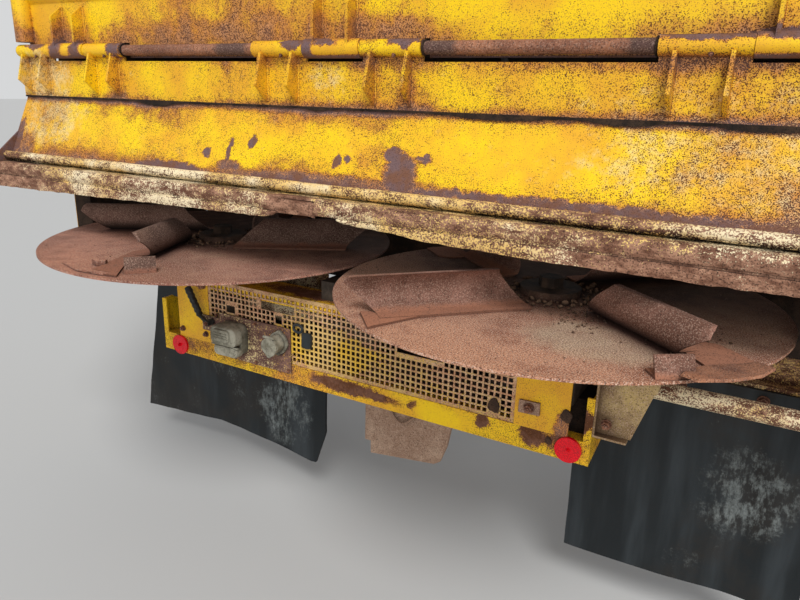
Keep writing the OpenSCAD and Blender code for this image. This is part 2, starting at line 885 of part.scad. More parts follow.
// Ribbed lip along the flap's foot: a bead, a shelf, a band and a lower strip
module lip() {
    low = disc_z + lip_low;
    bead_r = 14;
    bead_y = foot_y - bead_r;
    band_low = shelf_z - 36;
    color(rust) {
        along_x(flap_w - 16) {
            translate([bead_y, foot_z + 4])
                circle(r = bead_r, $fn = 32);
            translate([bead_y - 4, shelf_z - 1])
                square([8, 8]);
        }
        along_x(flap_w + 2 * lip_over) {
            translate([lip_face_y + 2, shelf_z - 6])
                square([foot_y + skirt_t - lip_face_y - 2, 6]);
            translate([foot_y, shelf_z - 1])
                square([skirt_t, foot_z - touch - shelf_z + 1]);
            translate([lip_face_y, band_low])
                square([8, shelf_z - band_low]);
            translate([lip_face_y + 5, band_low - 9])
                square([7, 10]);
            translate([lip_face_y + 3, low])
                square([6, band_low - 8 - low]);
        }
    }
}

// Disc plate with its hub and drive shaft, at the right-hand place
module disc(side) {
    hub_h = neck_top_z + 1;
    color(rust)
        on_side(side)
            translate([disc_x, disc_y, 0]) {
                translate([0, 0, disc_z - disc_t])
                    cylinder(h = disc_t, r = disc_r, $fn = 128);
                translate([0, 0, hub_h])
                    cylinder(h = disc_z - disc_t - hub_h + 1, d = 160, $fn = round_fn);
                translate([0, 0, rail_z + 35])
                    cylinder(h = disc_z - rail_z - 40, d = disc_shaft_d, $fn = round_fn);
                translate([0, 0, disc_z - 1])
                    cylinder(h = 19, d = 150, $fn = round_fn);
                translate([0, 0, disc_z + 17])
                    cylinder(h = 26, d = 62, $fn = 6);
            }
}

// The vanes of a disc stand in opposite pairs, each pair given by one row: the turn of its
// line from outboard, the distance of that line from the disc's centre, where the foot starts
// and ends along the line, and where the top edge starts and ends
left_rows = [[249, 84, 60, 300, 145, 392], [328, 100, 60, 400, 145, 480]];
right_rows = [[226, 61, 110, 466, 171, 534], [319, 2, 160, 433, 235, 530]];

// Bent remains of each pair's foot, drawn along its line and away from it
left_feet = [[[200, 130], [258, 169], [495, 164], [514, 70], [427, 102], [300, 112]], []];
right_feet = [[[380, 100], [380, 117], [508, 163], [500, 60], [440, 70]],
              [[380, 40], [394, 107], [423, 128], [519, 124], [527, 103], [529, 14], [440, 30]]];

// Foot line of the rim bracket behind a pair's vane
left_brackets = [[[446, -3], [483, 66]], []];
right_brackets = [[], [[521, -108], [539, -35]]];

// Section of a vane: a flat foot and a sheet that bulges away from the side it throws with
module vane_section() {
    r = vane_h * 6 / 11;
    foot_at = 0.54 * r;
    intersection() {
        translate([foot_at, r])
            difference() {
                circle(r = r, $fn = 96);
                circle(r = r - vane_t, $fn = 96);
            }
        translate([-r, 0])
            square([r + foot_at, vane_h]);
    }
    translate([foot_at, 0])
        square([vane_foot, vane_t]);
}

// Side outline of a vane, with its slanted ends and rounded outer corner
module vane_outline(row) {
    corner = 20;
    polygon([[row[2], -5], [row[3], -5], [row[3], 3], [row[5], vane_h - corner], [row[5] - 6, vane_h - 5],
             [row[5] - corner, vane_h + 5], [row[4] + 8, vane_h + 5], [row[4], vane_h - 8], [row[2], 6]]);
}

// An upright plate near the rim that leans inwards over its foot
module rim_bracket(ends) {
    run = ends[1] - ends[0];
    width = norm(run);
    lean = 17;
    sheet = 5;
    translate(ends[0])
        rotate([0, 0, atan2(run[1], run[0])])
            translate([width / 2, 0, 0]) {
                along_x(width)
                    polygon([[0, 0], [sheet, 0], [lean + sheet, bracket_h], [lean, bracket_h]]);
                box([-width / 2, 2, 0], [width / 2, 42, sheet]);
            }
}

// Vanes of one disc, seen for the right-hand disc
module vanes(side) {
    rows = side < 0 ? left_rows : right_rows;
    feet = side < 0 ? left_feet : right_feet;
    brackets = side < 0 ? left_brackets : right_brackets;
    color(rust)
        on_side(side)
            translate([disc_x, disc_y, disc_z])
                for (i = [0, 1], half_turn = [0, 180])
                    rotate([0, 0, rows[i][0] + half_turn]) {
                        translate([0, rows[i][1], 0])
                            intersection() {
                                rotate([90, 0, 90])
                                    linear_extrude(disc_r)
                                        vane_section();
                                translate([0, 100, 0])
                                    rotate([90, 0, 0])
                                        linear_extrude(200)
                                            vane_outline(rows[i]);
                            }
                        if (len(feet[i]) > 0)
                            linear_extrude(vane_t - 1)
                                polygon(feet[i]);
                        if (len(brackets[i]) > 0)
                            rim_bracket(brackets[i]);
                    }
}

core_x = wall_in_x - 25;

module beater(z) {
    color(rust) {
        rod_x(-core_x, core_x, core_d, beater_y, z);
        rod_x(-wall_x - 60, wall_x + case_t - 20, beater_shaft_d, beater_y, z);
    }
}

step_deg = 15;

// A helical strip from the middle towards the right
module flight() {
    inner = (core_d / 2 + touch) / cos(step_deg / 2);
    turns = (core_x - 40) / flight_pitch;
    steps = floor(turns * 360 / step_deg);
    corners = [[inner, 0], [flight_r, 0], [flight_r, flight_t], [inner, flight_t]];
    points = [for (i = [0:steps], c = corners)
        let (a = i * step_deg)
            [20 + a / 360 * flight_pitch + c[1], c[0] * cos(a), c[0] * sin(a)]];
    sides = [for (i = [0:steps - 1], k = [0:3])
        [4 * i + k, 4 * i + (k + 1) % 4, 4 * i + 4 + (k + 1) % 4, 4 * i + 4 + k]];
    tris = [for (s = sides) each [[s[0], s[1], s[2]], [s[0], s[2], s[3]]]];
    last = 4 * steps;
    polyhedron(points = points, faces = concat([[3, 2, 1, 0]], tris, [[last, last + 1, last + 2, last + 3]]));
}

tine_step = 60;

// Flat tines on the rim of a flight, one for each sixth of a turn
module tines() {
    count = floor((core_x - 60) / flight_pitch * 360 / tine_step);
    for (i = [0:count - 1])
        translate([20 + (i + 0.25) * tine_step / 360 * flight_pitch, 0, 0])
            rotate([(i + 0.25) * tine_step, 0, 0])
                box([-4, flight_r - 70, -28], [10, tine_r - 2, 28]);
}

module flights(z, turn) {
    color(rust)
        translate([0, beater_y, z])
            rotate([turn, 0, 0])
                for (side = [-1, 1])
                    on_side(side) {
                        flight();
                        tines();
                    }
}

floor_beam();
side_wall(-1);  // side_wall_left
side_wall(1);  // side_wall_right
rear_post(-1);  // rear_post_left
rear_post(1);  // rear_post_right
top_beam();
roof();
rear_wall();
hinge_shaft();
drop_plate();
front_shield();
bearings();
chain_case();
rail(-1);  // rail_left
rail(1);  // rail_right
cross_member();
tow_bracket();
deck_beam();
gearbox(-1);  // gearbox_left
gearbox(1);  // gearbox_right
centre_gearbox();
cross_shafts();
input_shaft();
lamp_board();
guard_top_rail();
lamp_panels();
guard_mesh();
socket_plate();
socket_large();
socket_small();
lever();
reflectors();
tail_plate();
mudflap_bars();
mudflap_left();
mudflap_right();
flap_panel();
skirt();
lip();
disc(-1);  // disc_left
vanes(-1);  // vanes_left
disc(1);  // disc_right
vanes(1);  // vanes_right
beater(beater_low_z);  // beater_lower
flights(beater_low_z, 0);  // flights_lower
beater(beater_top_z);  // beater_upper
flights(beater_top_z, 30);  // flights_upper
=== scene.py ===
"""Looks of the rear spreading unit: the finish of every piece, and the worn and small pieces on it.

Metres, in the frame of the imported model: +X right seen from behind, +Y forward, +Z up.
"""
import math
import random

import bmesh
import bpy
from mathutils import Matrix, Vector, noise


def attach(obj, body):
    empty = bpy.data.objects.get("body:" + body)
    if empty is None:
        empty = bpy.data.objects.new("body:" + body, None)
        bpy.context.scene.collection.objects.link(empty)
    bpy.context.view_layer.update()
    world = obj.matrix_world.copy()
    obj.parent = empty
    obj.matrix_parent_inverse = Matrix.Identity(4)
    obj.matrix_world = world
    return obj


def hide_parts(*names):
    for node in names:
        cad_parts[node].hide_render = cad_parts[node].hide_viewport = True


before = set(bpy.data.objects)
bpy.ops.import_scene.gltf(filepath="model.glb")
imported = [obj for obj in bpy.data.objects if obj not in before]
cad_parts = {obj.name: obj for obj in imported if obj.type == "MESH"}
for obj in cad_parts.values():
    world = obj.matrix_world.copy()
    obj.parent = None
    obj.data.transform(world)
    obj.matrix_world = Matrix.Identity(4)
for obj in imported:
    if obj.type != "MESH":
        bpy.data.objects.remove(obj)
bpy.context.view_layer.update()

# Camera, floor and light
CAMERA_PLACE = (1.0014, -2.4394, 0.3678)
CAMERA_YAW = 29.17
CAMERA_PITCH = 17.22
CAMERA_ROLL = 1.536
FOCAL_PIXELS = 670.36
PHOTO_WIDTH = 800
SENSOR_WIDTH = 36.0
FLOOR_Z = -1.10
FLOOR_HALF = 60.0
SKY_LEVEL = 0.42
SUN_LEVEL = 2.1
SUN_ANGLE = 22.0
SUN_TURN = (42.0, 0.0, 35.0)
FILL_LEVEL = 0.9
FILL_ANGLE = 40.0
FILL_TURN = (76.0, 0.0, 20.0)

# Weathered paint, rust and rubber all shine less than the shader's own start value
DULL_SHEEN = 0.25

# Places on the unit that the pieces share
SHAFT_Y = -1.010
SHAFT_Z = 0.465
FLAP_HALF = 1.262
LIP_HALF = 1.275
PANEL_BACK_Y = -1.008
PANEL_LOW_Z = 0.324
DISC_X = 0.5455
DISC_Y = -0.856
DISC_TOP_Z = -0.100
DISC_R = 0.540
BEATER_Y = -0.430
BEATER_Z = (0.380, 1.020)
DRIVE_Z = -0.294
CASE_OUT_X = 1.252
GUARD_Y = -0.975
BOARD_BACK_Y = -0.980
MUDFLAP_FACES_Y = (-0.660, -0.650)
GUSSET_OFF = 0.050
FLAP_SLEEVES = (-1.1675, -0.8375, -0.165, 0.165, 0.8375, 1.1675)
WALL_SLEEVES = (-1.0025, 0.0, 1.0025)
REARWARD = (0, -1, 0)

# The housing's inner faces: half its width, its rear and front, and its top
INNER_HALF = 1.1776
INNER_REAR_Y = -0.9872
INNER_FRONT_Y = -0.06
INNER_TOP_Z = 1.30


def tone(red, green, blue):
    """A shader colour from the 0 to 255 values that a screen shows."""
    def channel(value):
        share = value / 255
        return share / 12.92 if share <= 0.04045 else ((share + 0.055) / 1.055) ** 2.4
    return (channel(red), channel(green), channel(blue), 1.0)


class Graph:
    """Nodes being put together in one tree."""

    def __init__(self, tree):
        self.tree = tree

    def node(self, kind, inputs=None, **settings):
        made = self.tree.nodes.new(kind)
        for name, value in settings.items():
            setattr(made, name, value)
        for name, value in (inputs or {}).items():
            self.feed(made.inputs[name], value)
        return made

    def feed(self, socket, value):
        if isinstance(value, bpy.types.NodeSocket):
            self.tree.links.new(value, socket)
        else:
            socket.default_value = value

    def math(self, operation, first, second=0.0):
        return self.node("ShaderNodeMath", {0: first, 1: second}, operation=operation).outputs[0]

    def vector_math(self, operation, inputs):
        return self.node("ShaderNodeVectorMath", inputs, operation=operation).outputs

    def parts(self, vector):
        """The x, y and z of a vector."""
        return self.node("ShaderNodeSeparateXYZ", {0: vector}).outputs


class Finish(Graph):
    """A material being put together. Each method adds one pattern and returns its output."""

    def __init__(self, name, roughness, shift=0.0):
        self.material = bpy.data.materials.new(name)
        self.material.use_nodes = True
        super().__init__(self.material.node_tree)
        self.shader = self.tree.nodes["Principled BSDF"]
        self.shader.inputs["Roughness"].default_value = roughness
        self.shader.inputs["Specular IOR Level"].default_value = DULL_SHEEN
        self.place = self.node("ShaderNodeTexCoord").outputs["Object"]
        self.shift = shift
        self.ruffled = None

    def noise(self, scale, detail, rough=0.6, stretch=(1.0, 1.0, 1.0), shift=0.0):
        """Cloudy noise from about 0 to 1, finer with a larger scale, and longer where stretch is below 1."""
        move = self.shift + shift
        place = self.node("ShaderNodeMapping", {
            "Vector": self.place, "Scale": stretch, "Location": (move, move, move)})
        made = self.node("ShaderNodeTexNoise", {
            "Vector": place.outputs[0], "Scale": scale, "Detail": detail, "Roughness": rough})
        return made.outputs[0]

    def sum(self, *parts):
        """Adds outputs, each given as (output, weight)."""
        total = 0.0
        for output, weight in parts:
            total = self.node("ShaderNodeMath", {0: output, 1: weight, 2: total},
                              operation="MULTIPLY_ADD").outputs[0]
        return total

    def step(self, value, low, high, start=0.0, end=1.0):
        """Goes softly from start to end as the value goes from low to high."""
        made = self.node("ShaderNodeMapRange", {
            "Value": value, "From Min": low, "From Max": high, "To Min": start, "To Max": end},
            interpolation_type="SMOOTHSTEP")
        return made.outputs[0]

    def mix(self, share, first, second):
        made = self.node("ShaderNodeMix", {0: share, 6: first, 7: second}, data_type="RGBA")
        return made.outputs[2]

    def lay(self, under, over, value, low, high, most=1.0):
        """Lays one colour over another, more and more as the value goes from low to high."""
        return self.mix(self.step(value, low, high, 0.0, most), under, over)

    def corner_grime_and_shade(self, reach):
        """1 in a tight corner and 0 in the open, from ambient occlusion. A colour darkened with it is painted
        shade, together with dirt and rust in corners.
        """
        made = self.node("ShaderNodeAmbientOcclusion", {"Distance": reach}, samples=6)
        return self.step(made.outputs["AO"], 0.25, 0.95, 1.0, 0.0)

    def near_height(self, at, reach):
        """1 at the given height, falling to 0 at the reach above and below it."""
        gap = self.math("ABSOLUTE", self.math("SUBTRACT", self.parts(self.place)[2], at))
        return self.step(gap, 0.0, reach, 1.0, 0.0)

    def ruffle(self):
        """Pushes the place about a little, once, so that the blots have ragged edges."""
        swirl = self.node("ShaderNodeTexNoise", {
            "Vector": self.place, "Scale": 32.0, "Detail": 4.0, "Roughness": 0.7}).outputs["Color"]
        swirl = self.vector_math("SUBTRACT", {0: swirl, 1: (0.5, 0.5, 0.5)})[0]
        swirl = self.vector_math("SCALE", {0: swirl, "Scale": 0.045})[0]
        self.ruffled = self.vector_math("ADD", {0: self.place, 1: swirl})[0]

    def blot(self, centre, radii):
        """1 inside an ellipsoid with a ragged edge, and 0 outside it."""
        if self.ruffled is None:
            self.ruffle()
        place = self.node("ShaderNodeMapping", {
            "Vector": self.ruffled, "Scale": [1 / r for r in radii],
            "Location": [-c / r for c, r in zip(centre, radii)]})
        reach = self.vector_math("LENGTH", {0: place.outputs[0]})["Value"]
        return self.step(reach, 0.6, 1.4, 1.0, 0.0)

    def with_blots(self, value, blots):
        """Raises or lowers a value in the blots, each given as (centre, radii, gain)."""
        for centre, radii, gain in blots:
            value = self.sum((value, 1.0), (self.blot(centre, radii), gain))
        return value

    def inside(self):
        """1 within the housing's walls and on the underside of its roof, and 0 elsewhere. The paint there is
        put into the muck tones, for dried muck and for painted shade.
        """
        place = self.parts(self.place)
        facing = self.node("ShaderNodeNewGeometry").outputs["True Normal"]
        under = self.math("LESS_THAN", self.parts(facing)[2], -0.3)
        within = self.math("LESS_THAN", self.math("ABSOLUTE", place[0]), INNER_HALF)
        within = self.math("MULTIPLY", within, self.math("GREATER_THAN", place[1], INNER_REAR_Y))
        within = self.math("MULTIPLY", within, self.math("LESS_THAN", place[1], INNER_FRONT_Y))
        low = self.math("LESS_THAN", place[2], INNER_TOP_Z)
        return self.math("MULTIPLY", within, self.math("MAXIMUM", low, under))

    def colour(self, value):
        self.feed(self.shader.inputs["Base Color"], value)

    def roughness(self, value):
        self.feed(self.shader.inputs["Roughness"], value)

    def bump(self, height, distance, strength=1.0):
        made = self.node("ShaderNodeBump", {"Height": height, "Distance": distance, "Strength": strength})
        self.feed(self.shader.inputs["Normal"], made.outputs[0])


RUST_MID = tone(122, 84, 66)
RUST_DARK = tone(48, 30, 24)
RUST_BROWN = tone(96, 58, 34)
RUST_PURPLE = tone(116, 92, 92)
RUST_ORANGE = tone(196, 122, 58)
RUST_PINK = tone(192, 140, 104)
PAINT_BRIGHT = tone(250, 208, 22)
PAINT_DULL = tone(232, 172, 42)
PAINT_PALE = tone(238, 216, 156)
MUCK_SHADE_DARK = tone(36, 27, 21)
MUCK_SHADE_LIGHT = tone(66, 50, 38)


def worn_yellow(name, wear=0.0, stain=0.0, speck=0.0, edge_and_shade_bands=(), blots=(), cream=(),
                ground=(RUST_PURPLE, RUST_MID), shift=0.0, muck_and_shade_inside=False):
    """Yellow paint that rust has speckled, stained and flaked.

    wear moves the bare patches, stain the brown bloom and speck the density of the dots.
    bands holds (height, reach, gain) of edges where the paint is worse or better, and of a painted shade
    line, blots holds (centre, radii, gain) of worse or better places, and cream the same of bleached ones.
    """
    finish = Finish(name, roughness=0.5, shift=shift)
    cloud = finish.noise(2.6, 7.0, 0.62)
    break_up = finish.noise(24.0, 6.0, 0.7)
    runs = finish.noise(16.0, 4.0, 0.6, stretch=(1.0, 1.0, 0.16))
    corner = finish.corner_grime_and_shade(0.07)
    decay = finish.sum((cloud, 0.62), (break_up, 0.25), (runs, 0.13), (corner, 0.08))
    for at, reach, gain in edge_and_shade_bands:
        decay = finish.sum((decay, 1.0), (finish.near_height(at, reach), gain))
    decay = finish.with_blots(decay, blots)

    paint = finish.lay(PAINT_DULL, PAINT_BRIGHT, finish.noise(5.0, 3.0, shift=3), 0.35, 0.65)
    paint = finish.lay(paint, RUST_ORANGE, decay, 0.47 - stain, 0.60 - stain, 0.85)
    paint = finish.lay(paint, RUST_PINK, decay, 0.56 - stain, 0.67 - stain, 0.8)
    if cream:
        bleach = finish.with_blots(finish.sum((break_up, 0.8), (finish.noise(90.0, 3.0, 0.6), 0.3)), cream)
        paint = finish.lay(paint, PAINT_PALE, bleach, 0.62, 0.95, 0.9)

    dots = finish.noise(460.0, 1.5, 0.6)
    flecks = finish.noise(95.0, 3.0, 0.7)
    paint = finish.lay(paint, RUST_ORANGE, finish.sum((dots, 1.0), (decay, 0.5)), 0.72, 0.86, 0.55)
    dotted = finish.sum((dots, 1.0), (flecks, 0.42), (decay, 0.75))
    speckle = finish.step(dotted, 1.155 - speck, 1.205 - speck, 0.0, 0.95)
    bare = finish.step(finish.sum((decay, 1.0), (dots, 0.42), (flecks, 0.14)), 0.925 - wear, 0.948 - wear)

    spot_tone = finish.lay(RUST_DARK, RUST_BROWN, flecks, 0.4, 0.6)
    skin = finish.mix(speckle, paint, spot_tone)
    base = finish.lay(*ground, break_up, 0.4, 0.62)
    base = finish.lay(base, RUST_DARK, dots, 0.52, 0.66, 0.6)
    skin = finish.mix(bare, skin, base)
    gone = finish.math("MAXIMUM", speckle, bare)
    # Inside the housing the paint goes over to the muck tones: dried muck, and painted shade where the walls
    # and roof keep the light out.
    if muck_and_shade_inside:
        muck = finish.inside()
        muck_and_shade = finish.lay(MUCK_SHADE_DARK, MUCK_SHADE_LIGHT, break_up, 0.4, 0.65)
        skin = finish.mix(muck, skin, muck_and_shade)
        gone = finish.math("MAXIMUM", gone, muck)
    finish.colour(skin)
    finish.roughness(finish.step(gone, 0.0, 1.0, 0.42, 0.88))
    finish.bump(finish.sum((gone, -0.6), (dots, 0.4), (break_up, 0.5)), 0.0012, 0.6)
    return finish.material


def flaked(name, ground, flake=(PAINT_DULL, PAINT_PALE), cover=0.0, blots=(), shift=0.0):
    """Old paint that survives in small flakes on brown rust."""
    finish = Finish(name, roughness=0.85, shift=shift)
    cloud = finish.noise(4.0, 6.0, 0.65)
    grit = finish.noise(270.0, 2.0, 0.7)
    drawn = finish.noise(48.0, 6.0, 0.72, stretch=(0.5, 1.0, 1.0))
    fine = finish.noise(300.0, 2.0, 0.6, shift=5)
    base = finish.lay(*ground, drawn, 0.38, 0.62)
    base = finish.lay(base, RUST_DARK, fine, 0.53, 0.64, 0.8)
    hold = finish.with_blots(finish.sum((grit, 1.0), (drawn, 0.62), (cloud, 0.42)), blots)
    held = finish.step(hold, 1.035 - cover, 1.075 - cover, 0.0, 0.96)
    skin = finish.lay(*flake, cloud, 0.42, 0.58)
    # Darker in tight corners: dark rust, and painted shade.
    finish.colour(finish.mix(held, finish.mix(finish.corner_grime_and_shade(0.03), base, RUST_DARK), skin))
    finish.bump(finish.sum((held, 0.5), (grit, 0.8), (fine, 0.5)), 0.0018, 0.8)
    return finish.material


def rusty(name, light, mid, dark, pits=0.55, glint=0.0, coarse=1.0, roughness=0.85,
          blots=(), spread=None, muck_and_shade=(), foot=None, shift=0.0):
    """Bare rusty steel in three tones, with pits, light grains and places of another tone.

    pits is lower where there are more of them, and glint is how much the light grains show.
    spread is a tone that comes up in the blots, foot the tone of a vane's lowest edge, and caked
    holds (centre, radii, share) of places in the muck tones: where dried muck lies, and where shade is
    painted.
    """
    finish = Finish(name, roughness=roughness, shift=shift)
    cloud = finish.noise(3.4 * coarse, 6.0, 0.62)
    patch = finish.noise(22.0 * coarse, 5.0, 0.65)
    grain = finish.noise(300.0, 2.0, 0.75)
    base = finish.lay(mid, light, finish.sum((cloud, 0.6), (patch, 0.4)), 0.42, 0.60)
    if spread:
        share = finish.with_blots(finish.sum((patch, 0.5)), blots)
        base = finish.lay(base, spread, share, 0.45, 0.95, 0.9)
    base = finish.lay(base, dark, grain, pits, pits + 0.10, 0.85)
    if glint:
        bright = finish.noise(340.0, 1.0, 0.6, shift=7)
        base = finish.lay(base, tone(222, 190, 168), bright, 0.54, 0.62, glint)
    if foot:
        height = finish.sum((finish.parts(finish.place)[2], 1.0), (patch, 0.02))
        low = finish.step(height, DISC_TOP_Z + 0.014, DISC_TOP_Z + 0.026, 1.0, 0.0)
        base = finish.mix(low, base, finish.lay(foot, dark, grain, pits, pits + 0.10, 0.8))
    # Darker in tight corners: dark rust, and painted shade.
    base = finish.mix(finish.corner_grime_and_shade(0.06), base, dark)
    # In the muck tones: dried muck round a disc's hub, and painted shade on its half towards the rear wall.
    for centre, radii, gain in muck_and_shade:
        share = finish.math("MULTIPLY", finish.blot(centre, radii), gain)
        base = finish.mix(share, base, finish.lay(MUCK_SHADE_DARK, MUCK_SHADE_LIGHT, patch, 0.4, 0.62))
    finish.colour(base)
    finish.bump(finish.sum((grain, 1.0), (patch, 0.8)), 0.0016, 0.9)
    return finish.material


def rubber(name, wipes=()):
    """Black rubber sheet with grey wipe marks and greenish dust."""
    finish = Finish(name, roughness=0.62)
    dust = finish.noise(3.2, 8.0, 0.66)
    streak = finish.noise(9.0, 4.0, 0.6, stretch=(1.0, 1.0, 0.12))
    grit = finish.noise(120.0, 3.0, 0.7)
    base = finish.lay(tone(26, 30, 32), tone(50, 55, 58), streak, 0.42, 0.72)
    base = finish.lay(base, tone(44, 38, 32), dust, 0.45, 0.62, 0.5)
    wiped = finish.with_blots(finish.sum((dust, 0.8), (grit, 0.25)), wipes)
    dusty = finish.step(wiped, 0.60, 0.78, 0.0, 0.85)
    scratch = finish.sum((finish.noise(60.0, 6.0, 0.75, stretch=(1.0, 1.0, 0.35)), 0.6),
                         (finish.noise(24.0, 6.0, 0.7), 0.4))
    dusty = finish.math("MULTIPLY", dusty, finish.step(scratch, 0.44, 0.60))
    finish.colour(finish.mix(dusty, base, tone(128, 134, 132)))
    finish.roughness(finish.step(dusty, 0.0, 1.0, 0.5, 0.9))
    finish.bump(finish.sum((grit, 0.5), (dust, 1.0)), 0.0012, 0.4)
    return finish.material


def dirty_casting(name, light, dark, shift=0.0):
    """Grey casting under a skin of dried dirt."""
    finish = Finish(name, roughness=0.7, shift=shift)
    cloud = finish.noise(14.0, 6.0, 0.68)
    grain = finish.noise(150.0, 3.0, 0.7)
    base = finish.lay(dark, light, cloud, 0.38, 0.62)
    base = finish.lay(base, RUST_DARK, grain, 0.56, 0.70, 0.7)
    # Darker in tight corners: dirt, and painted shade.
    finish.colour(finish.mix(finish.corner_grime_and_shade(0.03), base, tone(52, 44, 36)))
    finish.bump(finish.sum((grain, 0.6), (cloud, 1.0)), 0.0015, 0.7)
    return finish.material


def reflector_red(name):
    """Moulded red reflector: a fine hexagonal cell under a clear skin."""
    finish = Finish(name, roughness=0.18)
    cells = finish.node("ShaderNodeTexVoronoi", {"Vector": finish.place, "Scale": 420.0})
    grime = finish.noise(60.0, 4.0, 0.6)
    base = finish.lay(tone(248, 12, 36), tone(198, 4, 22), cells.outputs["Distance"], 0.2, 0.8)
    finish.colour(finish.lay(base, tone(90, 40, 34), grime, 0.62, 0.74, 0.6))
    finish.shader.inputs["Coat Weight"].default_value = 0.25
    finish.bump(cells.outputs["Distance"], 0.0006, 0.5)
    return finish.material


def upright(y, reach, *rows):
    """Blots on an upright face at y, from rows of (x, z, reach in x, reach in z, gain)."""
    return [((x, y, z), (wide, reach, tall), gain) for x, z, wide, tall, gain in rows]


def level(z, reach, *rows):
    """Blots on a level face at z, from rows of (x, y, reach in x, reach in y, gain)."""
    return [((x, y, z), (wide, deep, reach), gain) for x, y, wide, deep, gain in rows]


# Places on the skirt where the paint is gone, worse or better: (centre, radii, gain)
SKIRT_BLOTS = [
    ((-0.52, -1.083, 0.146), (0.12, 0.03, 0.016), 0.36),
    ((0.225, -1.060, 0.186), (0.040, 0.05, 0.040), 0.27),
    ((0.281, -1.049, 0.221), (0.020, 0.02, 0.012), 0.30),
    ((0.62, -1.078, 0.154), (0.34, 0.03, 0.010), 0.15),
    ((0.10, -1.083, 0.152), (0.40, 0.03, 0.020), 0.10),
    ((-0.390, -1.061, 0.194), (0.014, 0.02, 0.012), 0.40),
    ((-0.239, -1.042, 0.234), (0.012, 0.02, 0.016), 0.40),
    ((0.043, -1.058, 0.200), (0.012, 0.02, 0.013), 0.40),
    ((0.071, -1.053, 0.210), (0.012, 0.02, 0.012), 0.40),
    ((0.200, -1.046, 0.226), (0.030, 0.02, 0.016), 0.30),
    ((-0.312, -1.053, 0.203), (0.008, 0.02, 0.036), 0.34),
    ((-0.300, -1.070, 0.170), (0.040, 0.02, 0.014), 0.18),
    ((-1.20, -1.070, 0.17), (0.05, 0.08, 0.04), 0.12),
    ((-1.262, -1.10, 0.16), (0.012, 0.09, 0.09), 0.40),
    ((-1.245, -1.06, 0.21), (0.016, 0.06, 0.05), 0.24),
    ((1.00, -1.045, 0.22), (0.34, 0.10, 0.10), 0.035),
    ((-0.74, -1.045, 0.225), (0.25, 0.06, 0.050), -0.08),
    ((-0.06, -1.040, 0.245), (0.20, 0.06, 0.045), -0.10),
    ((0.52, -1.040, 0.240), (0.22, 0.06, 0.050), -0.08),
]
SKIRT_CREAM = [
    ((-1.10, -1.03, 0.26), (0.15, 0.12, 0.09), 0.22),
    ((0.95, -1.04, 0.25), (0.35, 0.12, 0.10), 0.16),
]
# Places on the lip where flakes of paint are left or gone
LIP_BLOTS = [
    ((-1.26, -1.13, 0.08), (0.30, 0.06, 0.05), -0.16),
    ((-0.90, -1.145, 0.10), (0.26, 0.02, 0.03), 0.06),
    ((-0.45, -1.145, 0.10), (0.36, 0.02, 0.016), -0.07),
    ((-0.04, -1.145, 0.09), (0.075, 0.03, 0.04), -0.25),
    ((0.10, -1.10, 0.14), (0.50, 0.025, 0.03), 0.10),
    ((-0.75, -1.10, 0.14), (0.45, 0.025, 0.03), 0.07),
    ((0.60, -1.145, 0.10), (0.60, 0.02, 0.012), -0.03),
    ((0.36, -1.145, 0.06), (0.26, 0.03, 0.02), 0.10),
    ((1.12, -1.14, 0.06), (0.45, 0.04, 0.05), -0.20),
]

REAR_BLOTS = (
    upright(-1.0, 0.3, (-0.50, 0.62, 0.42, 0.16, 0.03), (0.60, 0.66, 0.62, 0.16, -0.11),
            (-0.92, 0.62, 0.17, 0.10, -0.09), (-1.15, 0.62, 0.07, 0.14, -0.17))
    + upright(-1.01, 0.04, (-0.07, 0.465, 0.022, 0.03, 0.50))
    + upright(-1.02, 0.03, (-0.015, 0.478, 0.035, 0.010, 0.36))
    + upright(-1.01, 0.04, (-1.05, 0.465, 0.030, 0.03, 0.42), (-0.955, 0.460, 0.030, 0.03, 0.45),
              (1.00, 0.486, 0.090, 0.014, 0.42)))
PANEL_BLOTS = (
    upright(-1.0, 0.1, (0.226, 0.35, 0.05, 0.04, 0.07), (0.84, 0.38, 0.07, 0.05, -0.10),
            (-0.80, 0.36, 0.05, 0.06, 0.09))
    + upright(-1.02, 0.04, (-0.115, 0.476, 0.032, 0.016, 0.50), (0.205, 0.480, 0.040, 0.014, 0.50))
    + upright(-1.01, 0.04, (-0.782, 0.470, 0.035, 0.024, 0.50), (-1.16, 0.480, 0.050, 0.012, 0.34),
              (0.84, 0.486, 0.090, 0.014, 0.45)))
PANEL_CREAM = upright(-1.0, 0.1, (-1.15, 0.38, 0.14, 0.09, 0.24), (-0.03, 0.39, 0.06, 0.05, 0.16),
                      (0.95, 0.36, 0.35, 0.05, 0.12))
BOARD_BLOTS = (
    upright(-0.98, 0.1, (-0.30, -0.43, 0.30, 0.05, 0.09), (0.02, -0.44, 0.11, 0.022, 0.22),
            (-0.66, -0.44, 0.08, 0.05, 0.06), (0.565, -0.418, 0.030, 0.045, 0.26),
            (0.44, -0.430, 0.020, 0.020, 0.26), (0.62, -0.43, 0.030, 0.03, 0.16),
            (0.15, -0.445, 0.05, 0.014, 0.24), (0.235, -0.440, 0.018, 0.012, 0.28))
    + upright(-0.99, 0.1, (0.69, -0.36, 0.03, 0.03, 0.30))
    + upright(-0.98, 0.1, (0.33, -0.45, 0.10, 0.03, -0.10))
    + upright(-0.92, 0.05, (-0.02, -0.21, 0.32, 0.03, 0.25)))
LAMP_PANEL_BLOTS = upright(-0.98, 0.1, (-0.535, -0.22, 0.02, 0.02, 0.3), (0.64, -0.40, 0.02, 0.05, 0.2))
GUARD_BLOTS = upright(-0.97, 0.1, (-0.05, -0.34, 0.16, 0.06, 0.20), (0.42, -0.30, 0.14, 0.08, -0.10),
                      (-0.36, -0.25, 0.16, 0.06, -0.12), (0.10, -0.25, 0.18, 0.05, -0.10))
